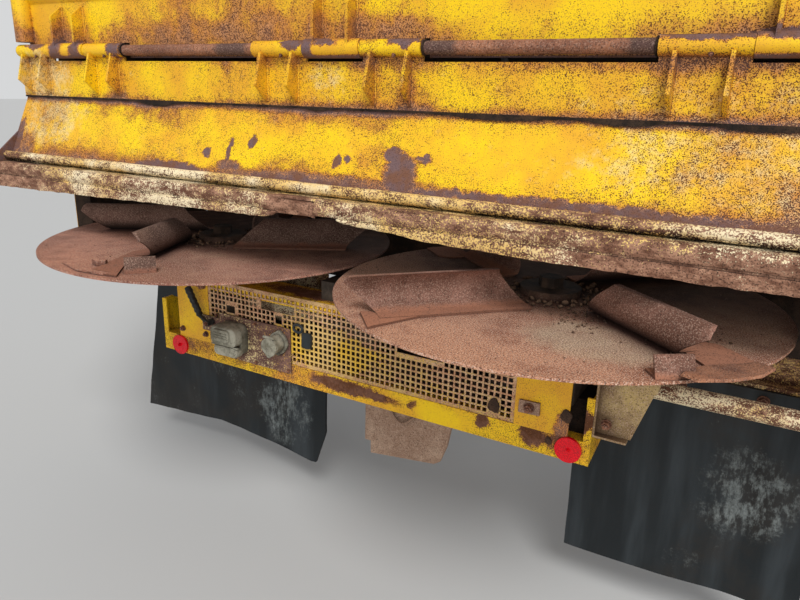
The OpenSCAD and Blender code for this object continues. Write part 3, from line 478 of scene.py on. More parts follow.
# Places on the discs that are more worn, and those in muck tones: muck round the hub, painted shade at the
# rear wall
LEFT_BLOTS = level(DISC_TOP_Z, 0.1, (-0.42, -1.20, 0.34, 0.16, 0.34), (-0.35, -0.95, 0.30, 0.12, 0.26))
# Left disc: muck round the hub, then painted shade on the half towards the rear wall, which turns with the
# disc.
LEFT_MUCK_AND_SHADE = (level(-0.06, 0.045, (-DISC_X, DISC_Y, 0.13, 0.13, 1.0))
              + level(DISC_TOP_Z, 0.1, (-DISC_X + 0.12, DISC_Y + 0.34, 0.58, 0.42, 0.82)))
RIGHT_BLOTS = level(DISC_TOP_Z, 0.1, (0.74, -1.14, 0.17, 0.13, 0.55), (0.95, -0.90, 0.16, 0.20, 0.36),
                    (0.25, -1.15, 0.20, 0.16, -0.2))
# Right disc: muck round the hub, then painted shade on the half towards the rear wall, which turns with the
# disc.
RIGHT_MUCK_AND_SHADE = (level(-0.06, 0.045, (DISC_X, DISC_Y, 0.13, 0.13, 1.0))
               + level(DISC_TOP_Z, 0.1, (DISC_X, DISC_Y + 0.36, 0.56, 0.42, 0.82)))
SHAFT_BLOTS = upright(SHAFT_Y, 0.05, (-0.32, SHAFT_Z, 0.06, 0.05, 0.7), (0.29, SHAFT_Z, 0.05, 0.05, 0.7),
                      (0.74, SHAFT_Z, 0.05, 0.05, 0.7))
RUBBER_WIPES = upright(-0.66, 0.2, (-0.44, -0.79, 0.13, 0.13, 0.24), (1.05, -0.62, 0.13, 0.14, 0.14),
                       (0.70, -0.86, 0.30, 0.05, 0.10), (-0.75, -0.62, 0.10, 0.10, 0.08))

FINISH = {
    "wall": worn_yellow("wall_yellow", wear=-0.05, stain=-0.02, speck=-0.01, shift=17.0, muck_and_shade_inside=True),
    "rear": worn_yellow(
        "rear_wall_yellow", wear=-0.03, stain=0.01, speck=-0.01, blots=REAR_BLOTS, muck_and_shade_inside=True,
        # The band at height 0.443 is painted shade along the wall's lower edge, behind the hinge shaft.
        edge_and_shade_bands=[(SHAFT_Z + 0.045, 0.06, 0.07), (SHAFT_Z, 0.026, -0.12), (0.443, 0.011, 0.45)]),
    "case": worn_yellow("chain_case_yellow", wear=-0.01, stain=-0.02, speck=0.01, shift=90.0),
    "panel": worn_yellow(
        "panel_yellow", wear=-0.02, stain=-0.02, blots=PANEL_BLOTS, cream=PANEL_CREAM, shift=11.0,
        edge_and_shade_bands=[(PANEL_LOW_Z, 0.030, 0.13), (SHAFT_Z - 0.032, 0.03, 0.07), (SHAFT_Z, 0.026, -0.09)]),
    "skirt": worn_yellow(
        "skirt_yellow", stain=-0.015, speck=0.01, blots=SKIRT_BLOTS, cream=SKIRT_CREAM, shift=23.0,
        edge_and_shade_bands=[(0.132, 0.060, 0.13), (0.322, 0.024, 0.17)]),
    "lip": flaked("lip_rust", (tone(112, 76, 58), tone(180, 136, 110)),
                  (tone(238, 200, 122), tone(246, 228, 188)), blots=LIP_BLOTS, shift=4.0),
    # Nearly black: the shaft's torn rubber rings, and the strip under the panel, whose thin line along the
    # edge is painted shadow.
    "seal": rusty("seal_rust", tone(62, 46, 34), tone(28, 21, 17), tone(11, 9, 8), coarse=2.0, shift=6.0),
    "frame": worn_yellow("frame_yellow", stain=0.03, speck=0.02, shift=37.0),
    "board": worn_yellow("board_yellow", stain=-0.11, speck=-0.02, blots=BOARD_BLOTS,
                         ground=(RUST_BROWN, RUST_MID), shift=51.0),
    "lamp_panel": worn_yellow("lamp_panel_yellow", wear=-0.08, stain=-0.08, speck=-0.10,
                              blots=LAMP_PANEL_BLOTS, shift=63.0),
    "guard": flaked("guard_rust", (tone(198, 146, 110), tone(226, 188, 150)),
                    (tone(232, 186, 62), tone(214, 178, 112)), cover=0.02, blots=GUARD_BLOTS, shift=71.0),
    "disc_left": rusty("disc_left_rust", tone(184, 128, 106), tone(142, 94, 78), tone(78, 50, 42), pits=0.51,
                       glint=0.55, spread=tone(156, 130, 104), blots=LEFT_BLOTS, muck_and_shade=LEFT_MUCK_AND_SHADE),
    "disc_right": rusty("disc_right_rust", tone(200, 146, 116), tone(156, 102, 78), tone(78, 50, 42),
                        pits=0.49, glint=0.8, spread=tone(192, 168, 138), blots=RIGHT_BLOTS,
                        muck_and_shade=RIGHT_MUCK_AND_SHADE, shift=2.0),
    "vane_left": rusty("vane_left_rust", tone(120, 92, 80), tone(92, 68, 58), tone(50, 36, 30), glint=0.25,
                       foot=tone(150, 102, 82), shift=9.0),
    "vane_right": rusty("vane_right_rust", tone(150, 108, 92), tone(112, 78, 64), tone(58, 40, 34),
                        glint=0.32, foot=tone(172, 118, 92), shift=13.0),
    "shaft": rusty("shaft_rust", tone(170, 116, 86), tone(124, 82, 64), tone(62, 42, 36), pits=0.52,
                   glint=0.2, spread=tone(84, 64, 60), blots=SHAFT_BLOTS, shift=15.0),
    "plate": rusty("plate_rust", tone(192, 162, 138), tone(158, 126, 104), tone(72, 54, 42), glint=0.4,
                   shift=19.0),
    "socket_plate": flaked("socket_plate_rust", (tone(110, 80, 70), tone(136, 102, 88)), cover=-0.10,
                           shift=8.0),
    "tail": rusty("tail_rust", tone(196, 170, 118), tone(150, 122, 88), tone(84, 62, 46), glint=0.4,
                  coarse=0.8, spread=tone(210, 178, 90),
                  blots=upright(-0.97, 0.1, (0.80, -0.27, 0.05, 0.06, 0.3)), shift=12.0),
    # Very dark rust: the board's loose flakes, and the beaters and flights inside the housing, where the
    # darkness is partly painted shade.
    "inner": rusty("inner_rust", tone(80, 58, 44), tone(50, 36, 28), tone(24, 17, 14), shift=29.0),
    # Dark muck on the rear posts, drop plate, front shield and deck beam, dark enough to be the painted shade
    # inside the housing too.
    "muck": rusty("dried_muck", tone(64, 48, 37), tone(38, 28, 22), tone(18, 13, 11), coarse=2.0,
                  roughness=0.95, shift=31.0),
    "crumb": rusty("muck_crumb", tone(146, 116, 92), tone(104, 78, 62), tone(54, 40, 32), coarse=3.0,
                   roughness=0.95),
    "rubber": rubber("mudflap_black", wipes=RUBBER_WIPES),
    "socket": dirty_casting("socket_grey", tone(172, 168, 150), tone(112, 108, 92)),
    # Gearboxes and bearings, darker than their grey: dirt, and painted shade.
    "casting": dirty_casting("gearbox_grey", tone(84, 74, 64), tone(50, 42, 35), shift=5.0),
    "grip": rubber("grip_black"),
    "red": reflector_red("reflector_red"),
}

NODE_FINISH = {
    "wall": ["roof", "side_wall_left", "side_wall_right", "floor_beam"],
    "rear": ["rear_wall"],
    "case": ["chain_case"],
    "muck": ["rear_post_left", "rear_post_right", "drop_plate", "front_shield", "deck_beam"],
    "panel": ["flap_panel"],
    "skirt": ["skirt"],
    "lip": ["lip", "mudflap_bars", "cross_shafts"],
    "frame": ["top_beam", "rail_left", "rail_right", "cross_member"],
    "tail": ["tail_plate"],
    "board": ["lamp_board", "guard_top_rail"],
    "lamp_panel": ["lamp_panels"],
    "guard": ["guard_mesh"],
    "disc_left": ["disc_left"],
    "disc_right": ["disc_right"],
    "vane_left": ["vanes_left"],
    "vane_right": ["vanes_right"],
    "shaft": ["hinge_shaft", "input_shaft"],
    "plate": ["tow_bracket"],
    "socket_plate": ["socket_plate"],
    "inner": ["beater_lower", "beater_upper", "flights_lower", "flights_upper"],
    "rubber": ["mudflap_left", "mudflap_right"],
    "socket": ["socket_large", "socket_small"],
    "casting": ["bearings", "gearbox_left", "gearbox_right", "centre_gearbox"],
    "grip": ["lever"],
    "red": ["reflectors"],
}


def finish_nodes():
    """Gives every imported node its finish."""
    for key, names in NODE_FINISH.items():
        for name in names:
            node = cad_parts[name]
            node.data.materials.clear()
            node.data.materials.append(FINISH[key])


def ripple(first, second, size, seed=0.0):
    """A smooth random value from -1 to 1 that changes over the given size."""
    return noise.noise(Vector((first / size + seed, second / size - seed, seed * 0.37)))


def add_object(name, data):
    """Puts new data into the scene as an object."""
    made = bpy.data.objects.new(name, data)
    bpy.context.collection.objects.link(made)
    return made


def hang(piece, body, stands_for=()):
    """Puts a finished piece on its body, and hides the imported parts that it stands for."""
    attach(piece, body)
    if stands_for:
        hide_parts(*stands_for)
    return piece


def settle(name, form, finish, body, stands_for=(), angle=38):
    """Makes a bmesh form into a piece."""
    bmesh.ops.recalc_face_normals(form, faces=form.faces)
    mesh = bpy.data.meshes.new(name)
    form.to_mesh(mesh)
    form.free()
    mesh.shade_smooth()
    mesh.set_sharp_from_angle(angle=math.radians(angle))
    mesh.materials.append(FINISH[finish])
    return hang(add_object(name, mesh), body, stands_for)


def loft(form, rings):
    """Adds a closed solid through rings that have the same number of points."""
    rows = [[form.verts.new(point) for point in ring] for ring in rings]
    count = len(rows[0])
    for first, second in zip(rows, rows[1:]):
        for i in range(count):
            j = (i + 1) % count
            form.faces.new((first[i], first[j], second[j], second[i]))
    form.faces.new(rows[0][::-1])
    form.faces.new(rows[-1])


def plate(form, outline, lift):
    """Adds a flat plate: its outline's points, and the same points moved by the lift."""
    loft(form, [outline, [tuple(a + b for a, b in zip(point, lift)) for point in outline]])


def circle(count):
    """Cosine and sine of evenly spaced turns."""
    turns = [2 * math.pi * k / count for k in range(count)]
    return [(math.cos(turn), math.sin(turn)) for turn in turns]


def tube(form, path, radii, sides=8):
    """Adds a round solid along a path, with a radius at each of its points or one for all."""
    if not hasattr(radii, "__len__"):
        radii = [radii] * len(path)
    rings = []
    for i, (point, radius) in enumerate(zip(path, radii)):
        ahead = Vector(path[min(i + 1, len(path) - 1)]) - Vector(path[max(i - 1, 0)])
        turn = ahead.to_track_quat("Z", "Y")
        rings.append([Vector(point) + turn @ Vector((radius * c, radius * s, 0)) for c, s in circle(sides)])
    loft(form, rings)


def spread_along(low, high, pitch):
    """Evenly spaced places from low to high, about a pitch apart."""
    count = max(2, int(round((high - low) / pitch)))
    return [low + (high - low) * i / count for i in range(count + 1)]


def smooth_share(value, low, high):
    """0 up to low, 1 from high on, and an even curve between them."""
    share = min(1.0, max(0.0, (value - low) / (high - low)))
    return share * share * (3 - 2 * share)


def run_along(form, low, high, pitch, section):
    """Adds a long piece from one x to another, whose section of (y, z) points may change on the way."""
    loft(form, [[(x, y, z) for y, z in section(x)] for x in spread_along(low, high, pitch)])


def on_polyline(points, value):
    """Height of a polyline of (place, height) points, at a place."""
    if value <= points[0][0]:
        return points[0][1]
    for (x0, z0), (x1, z1) in zip(points, points[1:]):
        if value <= x1:
            return z0 + (z1 - z0) * (value - x0) / (x1 - x0)
    return points[-1][1]


def make_skirt():
    """The bent skirt sheet, with the dents and the wavy foot of long use, and its two end plates."""
    bends = [(-1.002, 0.369), (-1.002, 0.3237), (-1.006, 0.312), (-1.034, 0.252), (-1.090, 0.132)]
    profile = []
    for (y0, z0), (y1, z1) in zip(bends, bends[1:]):
        parts = max(1, int(math.hypot(y1 - y0, z1 - z0) / 0.012))
        profile += [(y0 + (y1 - y0) * i / parts, z0 + (z1 - z0) * i / parts) for i in range(parts)]
    profile.append(bends[-1])
    sheet = 0.005

    def section(x):
        """The sheet is stiff along its top and at its ends, and dented between them."""
        back, front = [], []
        for y, z in profile:
            free = smooth_share(0.318 - z, 0.0, 0.05) * smooth_share(FLAP_HALF - abs(x), 0.0, 0.08)
            dent = free * (0.0034 * ripple(x, z, 0.17) + 0.0014 * ripple(x, z, 0.055, 3.0))
            back.append((y - dent, z + 0.4 * dent))
            front.append((y + sheet - dent, z + 0.4 * dent))
        return back + front[::-1]

    form = bmesh.new()
    run_along(form, -FLAP_HALF, FLAP_HALF, 0.015, section)
    end = [(-1.0502, 0.214), (-1.148, 0.134), (-1.148, 0.1183), (-1.091, 0.1183), (-1.091, 0.132),
           (-1.086, 0.135)]
    for side in (-1, 1):
        plate(form, [(side * (FLAP_HALF + 0.0005), y, z) for y, z in end], (-side * 0.0065, 0, 0))
    settle("skirt_dented", form, "skirt", "flap", ["skirt"])


def make_lip():
    """The ribbed lip below the skirt: a bead, a shelf, a rounded band, and a bent lower strip that is torn.

    The band, the neck under it and the strip each have a gap near the middle.
    """
    form = bmesh.new()
    path, radii = [], []
    bead_half, bead_y, bead_z, bead_r = 1.254, -1.104, 0.136, 0.0138
    for x in spread_along(-bead_half, bead_half, 0.018):
        path.append((x, bead_y + 0.0022 * ripple(x, 0, 0.19, 1.0), bead_z + 0.0026 * ripple(x, 0, 0.24, 2.0)))
        radii.append(bead_r * (1 + 0.10 * ripple(x, 0, 0.07, 4.0)))
    tube(form, path, radii, 12)

    def shelf(x):
        lift = 0.0012 * ripple(x, 0, 0.16, 5.0)
        return [(-1.146, 0.1125 + lift), (-1.085, 0.1125), (-1.085, 0.118), (-1.146, 0.118 + lift)]

    def web(_):
        return [(-1.090, 0.117), (-1.085, 0.117), (-1.085, 0.1317), (-1.090, 0.1317)]

    def band(x):
        left_part = x < 0.034
        sag = 0.004 * smooth_share(0.5 - x, 0.0, 0.4) if x > 0.03 else 0.0
        drop = 0.0025 * ripple(x, 0, 0.21, 6.0) - sag
        crush = 0.006 * smooth_share(x, -0.12, -0.05) * left_part
        back = -0.0016 * ripple(x, 0, 0.12, 7.0) + crush
        low = 0.082 - 0.008 * smooth_share(x, -0.12, -0.08) * left_part
        edge = [(-1.138, 0.084), (-1.145, low), (-1.1495, 0.091), (-1.151, 0.101), (-1.1495, 0.111),
                (-1.144, 0.1185), (-1.138, 0.1165)]
        return [(y + back, z + drop) for y, z in edge]

    def neck(x):
        back = 0.001 * ripple(x, 0, 0.13, 8.0)
        inner, outer = -1.1365 + back, -1.143 + back
        return [(inner, 0.071), (outer, 0.071), (outer, 0.085), (inner, 0.085)]

    def strip(foot, seed):
        def section(x):
            low = on_polyline(foot, x) + 0.0022 * ripple(x, 0, 0.03, seed) + 0.001 * ripple(x, 0, 0.011, seed)
            curl = 0.004 * ripple(x, 0, 0.20, seed + 1)
            middle = (low + 0.076) / 2
            return [(-1.139, 0.077), (-1.139 + curl * 0.4, middle), (-1.1385 + curl, low),
                    (-1.1450 + curl, low), (-1.1475 + curl * 0.4, middle), (-1.1455, 0.077)]
        return section

    left_foot = [(-1.275, 0.037), (-1.061, 0.041), (-0.702, 0.048), (-0.40, 0.055), (-0.13, 0.058),
                 (-0.10, 0.064), (-0.082, 0.073)]
    right_foot = [(0.10, 0.074), (0.113, 0.067), (0.22, 0.063), (0.276, 0.059), (0.327, 0.053),
                  (0.603, 0.047), (1.275, 0.050)]
    for low, high, pitch, section in (
            (-LIP_HALF, LIP_HALF, 0.018, shelf), (-LIP_HALF, LIP_HALF, 0.2, web),
            (-LIP_HALF, 0.033, 0.018, band), (0.037, LIP_HALF, 0.018, band),
            (-LIP_HALF, -0.10, 0.018, neck), (0.10, LIP_HALF, 0.018, neck),
            (-LIP_HALF, -0.082, 0.009, strip(left_foot, 9.0)),
            (0.100, LIP_HALF, 0.009, strip(right_foot, 13.0))):
        run_along(form, low, high, pitch, section)
    settle("lip_battered", form, "lip", "flap", ["lip"], 50)


def make_seal_and_shadow_line():
    """A frayed strip of dirt and old paint that hangs below the panel's lower edge. Its thin, nearly black
    line along the whole edge is painted shadow; its sags are the strip itself.
    """
    sags = [(-0.63, 0.11, 0.011), (0.43, 0.19, 0.008), (0.70, 0.10, 0.008), (0.955, 0.11, 0.009),
            (-0.05, 0.08, 0.004)]

    def section(x):
        # The small drop along the whole edge is the painted shadow line; the sags below add the hanging
        # strip.
        drop = 0.0024 + 0.0020 * ripple(x, 0, 0.026, 1.0) + 0.0018 * ripple(x, 0, 0.009, 2.0)
        for middle, reach, depth in sags:
            share = smooth_share(1 - abs(x - middle) / reach, 0.0, 1.0)
            drop += depth * share * (1 + 0.3 * ripple(x, 0, 0.012, 3.0))
        back = -1.0094 - 0.25 * max(0.0, drop - 0.004) + 0.0006 * ripple(x, 0, 0.03, 4.0)
        return [(-1.0072, PANEL_LOW_Z + 0.001), (back + 0.0018, PANEL_LOW_Z - drop),
                (back, PANEL_LOW_Z - drop), (-1.0092, PANEL_LOW_Z + 0.003)]

    form = bmesh.new()
    run_along(form, -FLAP_HALF + 0.001, FLAP_HALF - 0.001, 0.007, section)
    settle("panel_seal_and_shadow_line", form, "seal", "flap")


def make_mudflaps():
    """Rubber sheets that wave and curl, row by row between their two side edges."""
    across, down, top_z = 44, 34, -0.318

    def flap(name, node, left, right, foot, wave, curl, seed):
        """left and right are the side edges as (depth, x), and foot is the lower edge as (x, z)."""
        def point(u, v, face_y):
            low = on_polyline(foot, left[-1][1] + (right[-1][1] - left[-1][1]) * u)
            z = top_z + (low - top_z) * v
            x0 = on_polyline(left, -z)
            x1 = on_polyline(right, -z)
            x = x0 + (x1 - x0) * u
            free = smooth_share(top_z - z, 0.0, 0.25)
            sway = wave * free * (ripple(x, z * 0.35, 0.22, seed) + 0.4 * ripple(x, z, 0.09, seed + 2))
            sway += curl * free * smooth_share(u, 0.55, 1.0) * smooth_share(v, 0.45, 1.0)
            return x, face_y - sway, z

        form = bmesh.new()
        back, front = [[[form.verts.new(point(i / across, j / down, face_y)) for i in range(across + 1)]
                        for j in range(down + 1)] for face_y in MUDFLAP_FACES_Y]
        for j in range(down):
            for i in range(across):
                for rows in (back, front):
                    form.faces.new((rows[j][i], rows[j][i + 1], rows[j + 1][i + 1], rows[j + 1][i]))
        for j in range(down):
            for i in (0, across):
                form.faces.new((back[j][i], back[j + 1][i], front[j + 1][i], front[j][i]))
        for i in range(across):
            for j in (0, down):
                form.faces.new((back[j][i], back[j][i + 1], front[j][i + 1], front[j][i]))
        settle(name, form, "rubber", "frame", [node])

    flap("mudflap_left_waved", "mudflap_left",
         [(0.318, -1.092), (0.945, -1.215)],
         [(0.318, -0.320), (0.470, -0.318), (0.510, -0.285), (0.685, -0.282), (0.809, -0.270),
          (0.931, -0.307)],
         [(-1.215, -0.945), (-0.797, -0.909), (-0.330, -0.934), (-0.307, -0.931)], 0.010, 0.030, 1.0)
    flap("mudflap_right_waved", "mudflap_right",
         [(0.318, 0.600), (0.936, 0.606)],
         [(0.318, 1.222), (0.940, 1.226)],
         [(0.606, -0.936), (1.042, -0.928), (1.226, -0.940)], 0.012, -0.010, 5.0)


class Tree(Graph):
    """A Geometry Nodes tree being put together. Its sizes are named inputs."""

    KINDS = {float: "NodeSocketFloat", int: "NodeSocketInt"}

    def __init__(self, name, sizes, finish):
        super().__init__(bpy.data.node_groups.new(name, "GeometryNodeTree"))
        self.sizes = dict(sizes, Finish=FINISH[finish])
        face = self.tree.interface
        face.new_socket("Geometry", in_out="INPUT", socket_type="NodeSocketGeometry")
        for label, value in self.sizes.items():
            kind = self.KINDS.get(type(value), "NodeSocketMaterial")
            face.new_socket(label, in_out="INPUT", socket_type=kind)
        face.new_socket("Geometry", in_out="OUTPUT", socket_type="NodeSocketGeometry")
        self.given = self.tree.nodes.new("NodeGroupInput").outputs
        self.result = self.tree.nodes.new("NodeGroupOutput").inputs[0]

    def transform(self, shape, **moves):
        inputs = {"Geometry": shape}
        inputs.update({name.capitalize(): value for name, value in moves.items()})
        return self.node("GeometryNodeTransform", inputs).outputs[0]

    def vector(self, x=0.0, y=0.0, z=0.0):
        return self.node("ShaderNodeCombineXYZ", {0: x, 1: y, 2: z}).outputs[0]

    def times(self, first, second):
        return self.math("MULTIPLY", first, second)

    def join(self, *shapes):
        made = self.node("GeometryNodeJoinGeometry")
        for shape in shapes:
            self.tree.links.new(shape, made.inputs[0])
        return made.outputs[0]

    def told(self, label, kind="FLOAT"):
        """An attribute that the points carry."""
        return self.node("GeometryNodeInputNamedAttribute", {"Name": label}, data_type=kind).outputs[0]

    def repeat(self, places, shape, turn=None, scale=None):
        inputs = {"Points": places, "Instance": shape}
        if turn is not None:
            inputs["Rotation"] = self.node("FunctionNodeEulerToRotation", {0: turn}).outputs[0]
        if scale is not None:
            inputs["Scale"] = scale
        made = self.node("GeometryNodeInstanceOnPoints", inputs).outputs[0]
        return self.node("GeometryNodeRealizeInstances", {0: made}).outputs[0]

    def close(self, shape, flat=True):
        shape = self.node("GeometryNodeSetShadeSmooth", {0: shape, "Shade Smooth": not flat}).outputs[0]
        shape = self.node("GeometryNodeSetMaterial", {0: shape, "Material": self.given["Finish"]}).outputs[0]
        self.tree.links.new(shape, self.result)

    def grow(self, name, mesh, body, slot, stands_for=()):
        """Runs the tree on a mesh, and hangs the plain result."""
        piece = add_object(name, mesh)
        modifier = piece.modifiers.new(name, "NODES")
        modifier.node_group = self.tree
        for socket in self.tree.interface.items_tree:
            if socket.in_out == "INPUT" and socket.name in self.sizes:
                modifier[socket.identifier] = self.sizes[socket.name]
        ready = piece.evaluated_get(bpy.context.evaluated_depsgraph_get())
        grown = bpy.data.meshes.new_from_object(ready)
        piece.modifiers.remove(modifier)
        piece.data = grown
        grown.name = name
        return hang(piece, body, stands_for)


def point_mesh(name, places, edges=(), **told):
    """Points for a tree, with the values that each point tells it."""
    mesh = bpy.data.meshes.new(name)
    mesh.from_pydata([tuple(place) for place in places], list(edges), [])
    for label, values in told.items():
        single = not hasattr(values[0], "__len__")
        layer = mesh.attributes.new(label, "FLOAT" if single else "FLOAT_VECTOR", "POINT")
        for item, value in zip(layer.data, values):
            if single:
                item.value = value
            else:
                item.vector = value
    return mesh


def make_guard():
    """The perforated guard: one outline with rows of square holes, filled and given its thickness."""
    low_x, high_x, low_z, high_z = -0.504, 0.520, -0.415, -0.205
    pitch, hole_width, clearance = 0.0160, 0.0113, 0.0075
    rim_x, rim_z, overlap = 0.014, 0.010, 0.004
    cuts = [(-0.2275, -0.247, 0.125, 0.030), (0.2485, -0.288, 0.137, 0.020),
            (-0.413, -0.2865, 0.036, 0.023), (-0.224, -0.285, 0.026, 0.026)]
    closed = [(-0.455, -0.177, -0.415, -0.303), (0.446, 0.486, -0.404, -0.354)]

    def free(x, z):
        """True where a small hole meets no larger cut and no closed place."""
        near_cut = any(abs(x - middle_x) < wide / 2 + clearance and abs(z - middle_z) < tall / 2 + clearance
                       for middle_x, middle_z, wide, tall in cuts)
        in_closed = any(x0 + overlap < x < x1 - overlap and z0 + overlap < z < z1 - overlap
                        for x0, x1, z0, z1 in closed)
        return not near_cut and not in_closed

    places = [(x, z, 0) for x, z, wide, tall in cuts]
    holes = [(wide, tall, 1) for x, z, wide, tall in cuts]
    columns = int((high_x - low_x - rim_x) / pitch)
    rows = int((high_z - low_z - rim_z) / pitch)
    first_x = (low_x + high_x - (columns - 1) * pitch) / 2
    first_z = (low_z + high_z - (rows - 1) * pitch) / 2
    for i in range(columns):
        for j in range(rows):
            x, z = first_x + i * pitch, first_z + j * pitch
            if free(x, z):
                worn = hole_width + 0.0007 * ripple(x, z, 0.03)
                places.append((x, z, 0))
                holes.append((worn, worn, 1))

    tree = Tree("guard_rows", {
        "Width": high_x - low_x, "Height": high_z - low_z, "Thickness": 0.003, "Buckle": 0.0012}, "guard")
    rectangle = "GeometryNodeCurvePrimitiveQuadrilateral"
    edge = tree.node(rectangle, {"Width": tree.given["Width"], "Height": tree.given["Height"]})
    edge = tree.transform(edge.outputs[0], translation=((low_x + high_x) / 2, (low_z + high_z) / 2, 0))
    hole = tree.node(rectangle, {"Width": 1.0, "Height": 1.0}).outputs[0]
    holed = tree.repeat(tree.given["Geometry"], hole, scale=tree.told("hole", "FLOAT_VECTOR"))
    filled = tree.node("GeometryNodeFillCurve", {0: tree.join(edge, holed)}).outputs[0]
    grown = tree.node("GeometryNodeExtrudeMesh", {
        "Mesh": filled, "Offset Scale": tree.given["Thickness"], "Individual": False}).outputs[0]
    under = tree.node("GeometryNodeFlipFaces", {0: filled}).outputs[0]
    whole = tree.node("GeometryNodeMergeByDistance", {0: tree.join(grown, under), "Distance": 0.00002})
    stood = tree.transform(whole.outputs[0], rotation=(math.pi / 2, 0, 0), translation=(0, GUARD_Y, 0))
    swell = tree.node("ShaderNodeTexNoise", {"Scale": 9.0, "Detail": 1.0}).outputs[0]
    lift = tree.times(tree.math("SUBTRACT", swell, 0.5), tree.given["Buckle"])
    warp = tree.vector(y=tree.times(lift, 2.0))
    tree.close(tree.node("GeometryNodeSetPosition", {"Geometry": stood, "Offset": warp}).outputs[0])
    mesh = point_mesh("guard_holes", places, hole=holes)
    tree.grow("guard_perforated", mesh, "frame", "yellow_paint", ["guard_mesh"])


def make_bolts(name, finish, slot, bolts, body="frame"):
    """Hexagon heads with washers. Each bolt is (place, way out, width across corners)."""
    tree = Tree(name + "_tree", {"Head height": 0.62, "Washer width": 1.28, "Washer height": 0.13}, finish)

    def drum(corners, radius, height):
        """A short cylinder that stands on the face."""
        made = tree.node("GeometryNodeMeshCylinder", {"Vertices": corners, "Radius": radius, "Depth": height})
        return tree.transform(made.outputs[0], translation=tree.vector(z=tree.times(height, 0.5)))

    head = drum(6, 0.5, tree.given["Head height"])
    washer = drum(14, tree.times(tree.given["Washer width"], 0.5), tree.given["Washer height"])
    end = tree.node("GeometryNodeMeshCylinder", {"Vertices": 10, "Radius": 0.27, "Depth": 0.30})
    end = tree.transform(end.outputs[0], translation=(0, 0, 0.72))
    shape = tree.join(head, washer, end)
    turn = tree.told("turn", "FLOAT_VECTOR")
    tree.close(tree.repeat(tree.given["Geometry"], shape, turn, tree.told("size")))
    draw = random.Random(name)
    turns = []
    for _, way, _ in bolts:
        roll = Matrix.Rotation(draw.uniform(0, 1.05), 4, "Z").to_quaternion()
        turns.append(tuple((Vector(way).to_track_quat("Z", "Y") @ roll).to_euler()))
    places, _, widths = zip(*bolts)
    tree.grow(name, point_mesh(name + "_points", places, turn=turns, size=widths), body, slot)


def make_crumbs(name, body, places, sizes, seed):
    """Crumbs of dried muck and small stones: rough balls of few faces, turned and squeezed at random."""
    tree = Tree(name + "_tree", {"Seed": seed}, "crumb")

    def any_vector(low, high):
        return tree.node("FunctionNodeRandomValue", {0: low, 1: high, "Seed": tree.given["Seed"]},
                         data_type="FLOAT_VECTOR").outputs[0]

    ball = tree.node("GeometryNodeMeshIcoSphere", {"Radius": 1.0, "Subdivisions": 1}).outputs[0]
    turn = any_vector((0, 0, 0), (6.2, 6.2, 6.2))
    squeeze = any_vector((0.7, 0.5, 0.35), (1.3, 1.1, 0.8))
    scale = tree.vector_math("SCALE", {0: squeeze, "Scale": tree.told("size")})[0]
    tree.close(tree.repeat(tree.given["Geometry"], ball, turn, scale), flat=False)
    tree.grow(name, point_mesh(name + "_points", places, size=sizes), body, "rusty_steel")


def make_welds(name, finish, body, lines):
    """Weld seams: overlapping drops along straight lines."""
    radius = 0.0035
    tree = Tree(name + "_tree", {"Radius": radius, "Pitch": radius * 1.1}, finish)
    path = tree.node("GeometryNodeMeshToCurve", {0: tree.given["Geometry"]}).outputs[0]
    path = tree.node("GeometryNodeResampleCurve", {"Curve": path, "Length": tree.given["Pitch"]},
                     mode="LENGTH").outputs[0]
    drop = tree.node("GeometryNodeMeshIcoSphere", {"Radius": tree.given["Radius"], "Subdivisions": 1})
    tree.close(tree.repeat(path, drop.outputs[0]), flat=False)
    ends = [point for line in lines for point in line]
    mesh = point_mesh(name + "_lines", ends, [(i, i + 1) for i in range(0, len(ends), 2)])
    tree.grow(name, mesh, body, "yellow_paint")


def gusset_seams(sleeves, y, low_z, high_z):
    """Lines up both sides of each gusset that stands beside a sleeve."""
    return [((x + off + side, y, low_z), (x + off + side, y, high_z))
            for x in sleeves for off in (-GUSSET_OFF, GUSSET_OFF) for side in (-0.0055, 0.0055)]


def make_hinge_trim():
    """Grease nipples under the flap's sleeves, weld seams at the gussets, and three torn rubber rings."""
    nipples = [((x + 0.012, SHAFT_Y - 0.013, SHAFT_Z - 0.0152), (0, -0.65, -0.76), 0.008)
               for x in FLAP_SLEEVES]
    make_bolts("grease_nipples", "shaft", "rusty_steel", nipples, "flap")
    seams = gusset_seams(FLAP_SLEEVES, PANEL_BACK_Y - 0.001, 0.338, 0.432)
    make_welds("gusset_welds", "panel", "flap", seams)
    seams = gusset_seams(WALL_SLEEVES, -0.991, 0.500, 0.592)
    make_welds("wall_gusset_welds", "rear", "frame", seams)
    form = bmesh.new()
    for x in (-0.751, 0.2505, 0.7495):
        path = [(x + 0.0012 * k, SHAFT_Y, SHAFT_Z) for k in range(4)]
        tube(form, path, [0.0182, 0.0192 + 0.0006 * ripple(x, 0, 0.1), 0.0188, 0.0176], 18)
    settle("shaft_seals", form, "seal", "frame")


